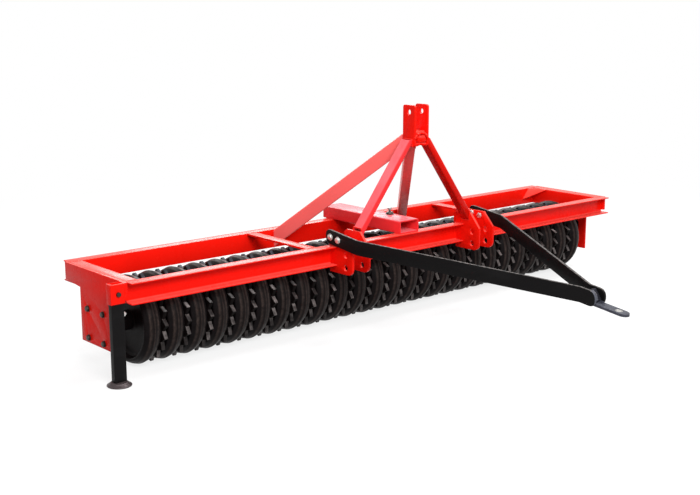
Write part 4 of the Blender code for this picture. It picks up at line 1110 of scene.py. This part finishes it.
class ROLLER_OT_welds(bpy.types.Operator):
    """Lay the weld beads of the frame and the headstock"""

    bl_idname = "roller.welds"
    bl_label = "Welds"

    def execute(self, context):
        width = context.scene.roller_shape.weld_leg
        for name, lay in (("frame_welds", self.on_frame), ("headstock_welds", self.on_headstock),
                          ("end_welds", self.on_ends)):
            self.seams = []
            lay(FRAME_TOP)
            pieces = []
            for index, (start, end, share) in enumerate(self.seams):
                lean = (0, 1, 0) if abs(end[2] - start[2]) > abs(end[1] - start[1]) else (0, 0, 1)
                pieces.append(bead(f"{name}_{index}", start, end, width * share, lean))
            settled(merged(name, pieces), [FINISH["weld"]], "red_paint", "frame", smooth=50)
        return {"FINISHED"}

    def seam(self, x, start, end, share=1.0):
        """A seam from one (y, z) place to another at one X, or between two of them."""
        x = x if isinstance(x, tuple) else (x, x)
        self.seams.append(((x[0], *start), (x[1], *end), share))

    def on_frame(self, top):
        """Seams of the strips, the receiver tube, the gusset and the frame's corners."""
        for side in ("left", "right"):
            low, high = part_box(f"cross_member_{side}")
            for y in (low.y, high.y):
                self.seam((low.x, high.x), (y, top - 0.001), (y, top - 0.001))
        front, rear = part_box("front_beam"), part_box("rear_beam")
        low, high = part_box("receiver_tube")
        for x in (low.x, high.x):
            self.seam(x, (low.y + 0.002, top + 0.001), (front[1].y - 0.002, top + 0.001), 1.1)
            self.seam(x, (rear[0].y + 0.002, top + 0.001), (rear[1].y - 0.002, top + 0.001), 1.1)
        low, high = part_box("corner_gusset")
        self.seam((low.x + 0.004, high.x - 0.035), (high.y, low.z + 0.002), (high.y, high.z))
        for end in ("left", "right"):
            low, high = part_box(f"end_channel_{end}")
            for y in (low.y, high.y):
                self.seam((low.x + 0.003, high.x - 0.003), (y, top - 0.0008), (y, top - 0.0008), 0.7)
                self.seam(high.x if end == "left" else low.x, (y, low.z + 0.004), (y, top - 0.004), 0.9)

    def on_headstock(self, top):
        """Seams of the link plates, the masts, the braces and the upper plates."""
        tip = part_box("front_beam")[0].y
        web, below = tip + 0.0535, top - SEAM_DROP
        for side_name, side in SIDES:
            for place in ("outer", "inner"):
                low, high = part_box(f"hitch_plate_{side_name}_{place}")
                for x in (low.x, high.x):
                    self.seam(x, (tip + 0.002, top + 0.0008), (tip + 0.056, top + 0.0008), 0.9)
                    self.seam(x, (web, top - 0.086), (web, top - 0.009))
                    self.seam(x, (tip + 0.002, below), (web - 0.002, below), 0.9)
            self.on_mast(side_name, side)
            low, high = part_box(f"brace_{side_name}")
            rim, front, rear = AXLE.x + side * 0.040, low.y, high.y
            self.seam(rim, (front, top + 0.427), (front, top + 0.511), 1.1)
            self.seam((rim, AXLE.x), (front, top + 0.513), (front, top + 0.532), 1.1)
            outer = low.x if side < 0 else high.x
            inner = outer - side * 0.065
            self.seam(outer, (rear, top - 0.093), (rear, top - 0.008), 1.1)
            self.seam(inner, (rear, top - 0.061), (rear, top - 0.003), 1.1)
            self.seam((outer, inner), (rear, top - 0.095), (rear, top - 0.063))

    def on_mast(self, side_name, side):
        """Seams of a mast's foot and head, and of the upper plate on it."""
        depth, lap = 0.058, 0.056
        low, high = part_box(f"mast_{side_name}")
        foot = low.x if side < 0 else high.x
        for y in (high.y, high.y - depth):
            self.seam(foot, (y, low.z + 0.002), (y, low.z + 0.054), 1.2)
        for z in (low.z, low.z + lap):
            self.seam(foot, (high.y - depth, z), (high.y, z), 1.1)
        face, plate = AXLE.x + side * 0.0492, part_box(f"clevis_plate_{side_name}")[0].z
        for y in (low.y, low.y + depth):
            self.seam(face, (y, high.z - 0.024), (y, high.z), 1.7)
        self.seam(face, (low.y, high.z), (low.y + depth, high.z), 1.5)
        self.seam(face, (low.y - 0.004, plate), (low.y + 0.062, plate), 2.4)
        self.seam((face, AXLE.x), (low.y - 0.001, plate), (low.y - 0.004, plate + 0.008), 3.2)

    def on_ends(self, top):
        """Seams of the side plates and the leg's socket."""
        for side in (-1, 1):
            low, high = PLATE[side]
            face = high.x if side < 0 else low.x
            self.seam(face, (low.y + 0.004, top - 0.0012), (high.y - 0.004, top - 0.0012), 0.7)
            self.seam(face, (AXLE.y - 0.130, top - SEAM_DROP), (AXLE.y + 0.130, top - SEAM_DROP))
        low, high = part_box("leg_socket")
        for y in (low.y + 0.001, high.y - 0.001):
            self.seam(high.x, (y, low.z + 0.012), (y, high.z - 0.004))


# Stage

BEAM_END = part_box("front_beam")[0]
CAMERA_PLACE = (BEAM_END.x - 2.48225, BEAM_END.y - 4.260, FRAME_TOP + 1.204)
CAMERA_AIM = (0.6407, 0.7381, -0.2113)


def placed(name, data, place, way):
    """A lamp or camera at a place, pointed along a way."""
    holder = bpy.data.objects.new(name, data)
    bpy.context.scene.collection.objects.link(holder)
    holder.location = place
    holder.rotation_euler = Vector(way).to_track_quat("-Z", "Y").to_euler()
    return holder


class ROLLER_OT_stage(bpy.types.Operator):
    """Set the floor, the light and the camera"""

    bl_idname = "roller.stage"
    bl_label = "Stage"

    def execute(self, context):
        stage = context.scene.roller_stage
        self.floor()
        self.sky(context.scene, stage.sky)
        for name, power, size, place, aim in (
                ("key_lamp", stage.key, 3.4, (-2.9, -5.4, 4.7), (0, -0.2, 0.3)),
                ("rear_lamp", stage.rear, 3.4, (3.2, 5.8, 3.8), (0, 0, 0.3)),
                ("top_lamp", stage.top, 2.4, (1.6, 0.4, 4.8), (0, 0, 0.2))):
            lamp = bpy.data.lights.new(name, "AREA")
            lamp.energy, lamp.size = power, size
            placed(name, lamp, place, Vector(aim) - Vector(place))
        lens = bpy.data.cameras.new("view_camera")
        lens.lens, lens.sensor_width, lens.clip_end = stage.lens, 36, 200
        context.scene.camera = placed("view_camera", lens, CAMERA_PLACE, CAMERA_AIM)
        context.scene.view_settings.view_transform = "Standard"
        return {"FINISHED"}

    def floor(self):
        """A pale floor that the camera sees glow white, more so further out, and that keeps the shadow."""
        floor = primitive(
            "pale_floor", bpy.ops.mesh.primitive_circle_add, vertices=64, radius=30, fill_type="NGON",
            location=(0, 0, -0.0005))
        made = Nodes("pale_floor_paint")
        diffuse = made.add("ShaderNodeBsdfDiffuse")
        glow = made.add("ShaderNodeEmission")
        mask = made.add("ShaderNodeLightPath")
        distance = made.add("ShaderNodeVectorMath", operation="LENGTH")
        made.link(made.place, distance.inputs[0])
        fade = made.ramp(distance.outputs["Value"], 2.0, 5.0, 0.78, 1.0)
        seen = made.maths("MAXIMUM", mask.outputs["Is Camera Ray"], mask.outputs["Is Glossy Ray"])
        made.link(made.mixed(seen, (0.26, 0.26, 0.26), (0.86, 0.86, 0.86)), diffuse.inputs["Color"])
        share = made.maths("MULTIPLY", fade, seen)
        blend = made.add("ShaderNodeMixShader")
        made.link(share, blend.inputs["Fac"])
        made.link(diffuse.outputs["BSDF"], blend.inputs[1])
        made.link(glow.outputs["Emission"], blend.inputs[2])
        made.link(blend.outputs["Shader"], made.tree.nodes["Material Output"].inputs["Surface"])
        floor.data.materials.append(made.material)

    def sky(self, scene, strength):
        """An even sky, white where the camera or a glossy surface sees it."""
        scene.world = bpy.data.worlds.new("even_sky")
        scene.world.use_nodes = True
        nodes, links = scene.world.node_tree.nodes, scene.world.node_tree.links
        background = nodes["Background"]
        rays = nodes.new("ShaderNodeLightPath")
        top = nodes.new("ShaderNodeMath")
        top.operation = "MAXIMUM"
        links.new(rays.outputs["Is Camera Ray"], top.inputs[0])
        links.new(rays.outputs["Is Glossy Ray"], top.inputs[1])
        level = nodes.new("ShaderNodeMapRange")
        level.inputs["To Min"].default_value = strength
        level.inputs["To Max"].default_value = 1.0
        links.new(top.outputs[0], level.inputs["Value"])
        links.new(level.outputs[0], background.inputs["Strength"])
        background.inputs["Color"].default_value = (1, 1, 1, 1)


STEPS = (
    ROLLER_OT_finishes, ROLLER_OT_frame, ROLLER_OT_headstock, ROLLER_OT_drawbar, ROLLER_OT_leg,
    ROLLER_OT_fasteners, ROLLER_OT_bearings, ROLLER_OT_axle, ROLLER_OT_rings, ROLLER_OT_toothed_rings,
    ROLLER_OT_welds, ROLLER_OT_stage)


class ROLLER_PT_panel(bpy.types.Panel):
    """The roller's steps and settings"""

    bl_idname = "ROLLER_PT_panel"
    bl_label = "Land Roller"
    bl_space_type = "VIEW_3D"
    bl_region_type = "UI"
    bl_category = "Land Roller"

    def draw(self, context):
        for group in (context.scene.roller_paint, context.scene.roller_shape, context.scene.roller_stage):
            for name in group.__annotations__:
                self.layout.prop(group, name)
        for step in STEPS:
            self.layout.operator(step.bl_idname)


GROUPS = {
    "roller_paint": RollerPaintSettings,
    "roller_shape": RollerShapeSettings,
    "roller_stage": RollerStageSettings,
}


def register():
    """Register the groups, the steps and the panel."""
    for name, group in GROUPS.items():
        bpy.utils.register_class(group)
        setattr(bpy.types.Scene, name, bpy.props.PointerProperty(type=group))
    for step in (*STEPS, ROLLER_PT_panel):
        bpy.utils.register_class(step)


def unregister():
    """Take the panel, the steps and the groups away again."""
    for step in (ROLLER_PT_panel, *reversed(STEPS)):
        bpy.utils.unregister_class(step)
    for name, group in GROUPS.items():
        delattr(bpy.types.Scene, name)
        bpy.utils.unregister_class(group)


def main():
    """Build everything in order."""
    register()
    for step in STEPS:
        group, name = step.bl_idname.split(".")
        getattr(getattr(bpy.ops, group), name)()


if __name__ == "__main__":
    main()
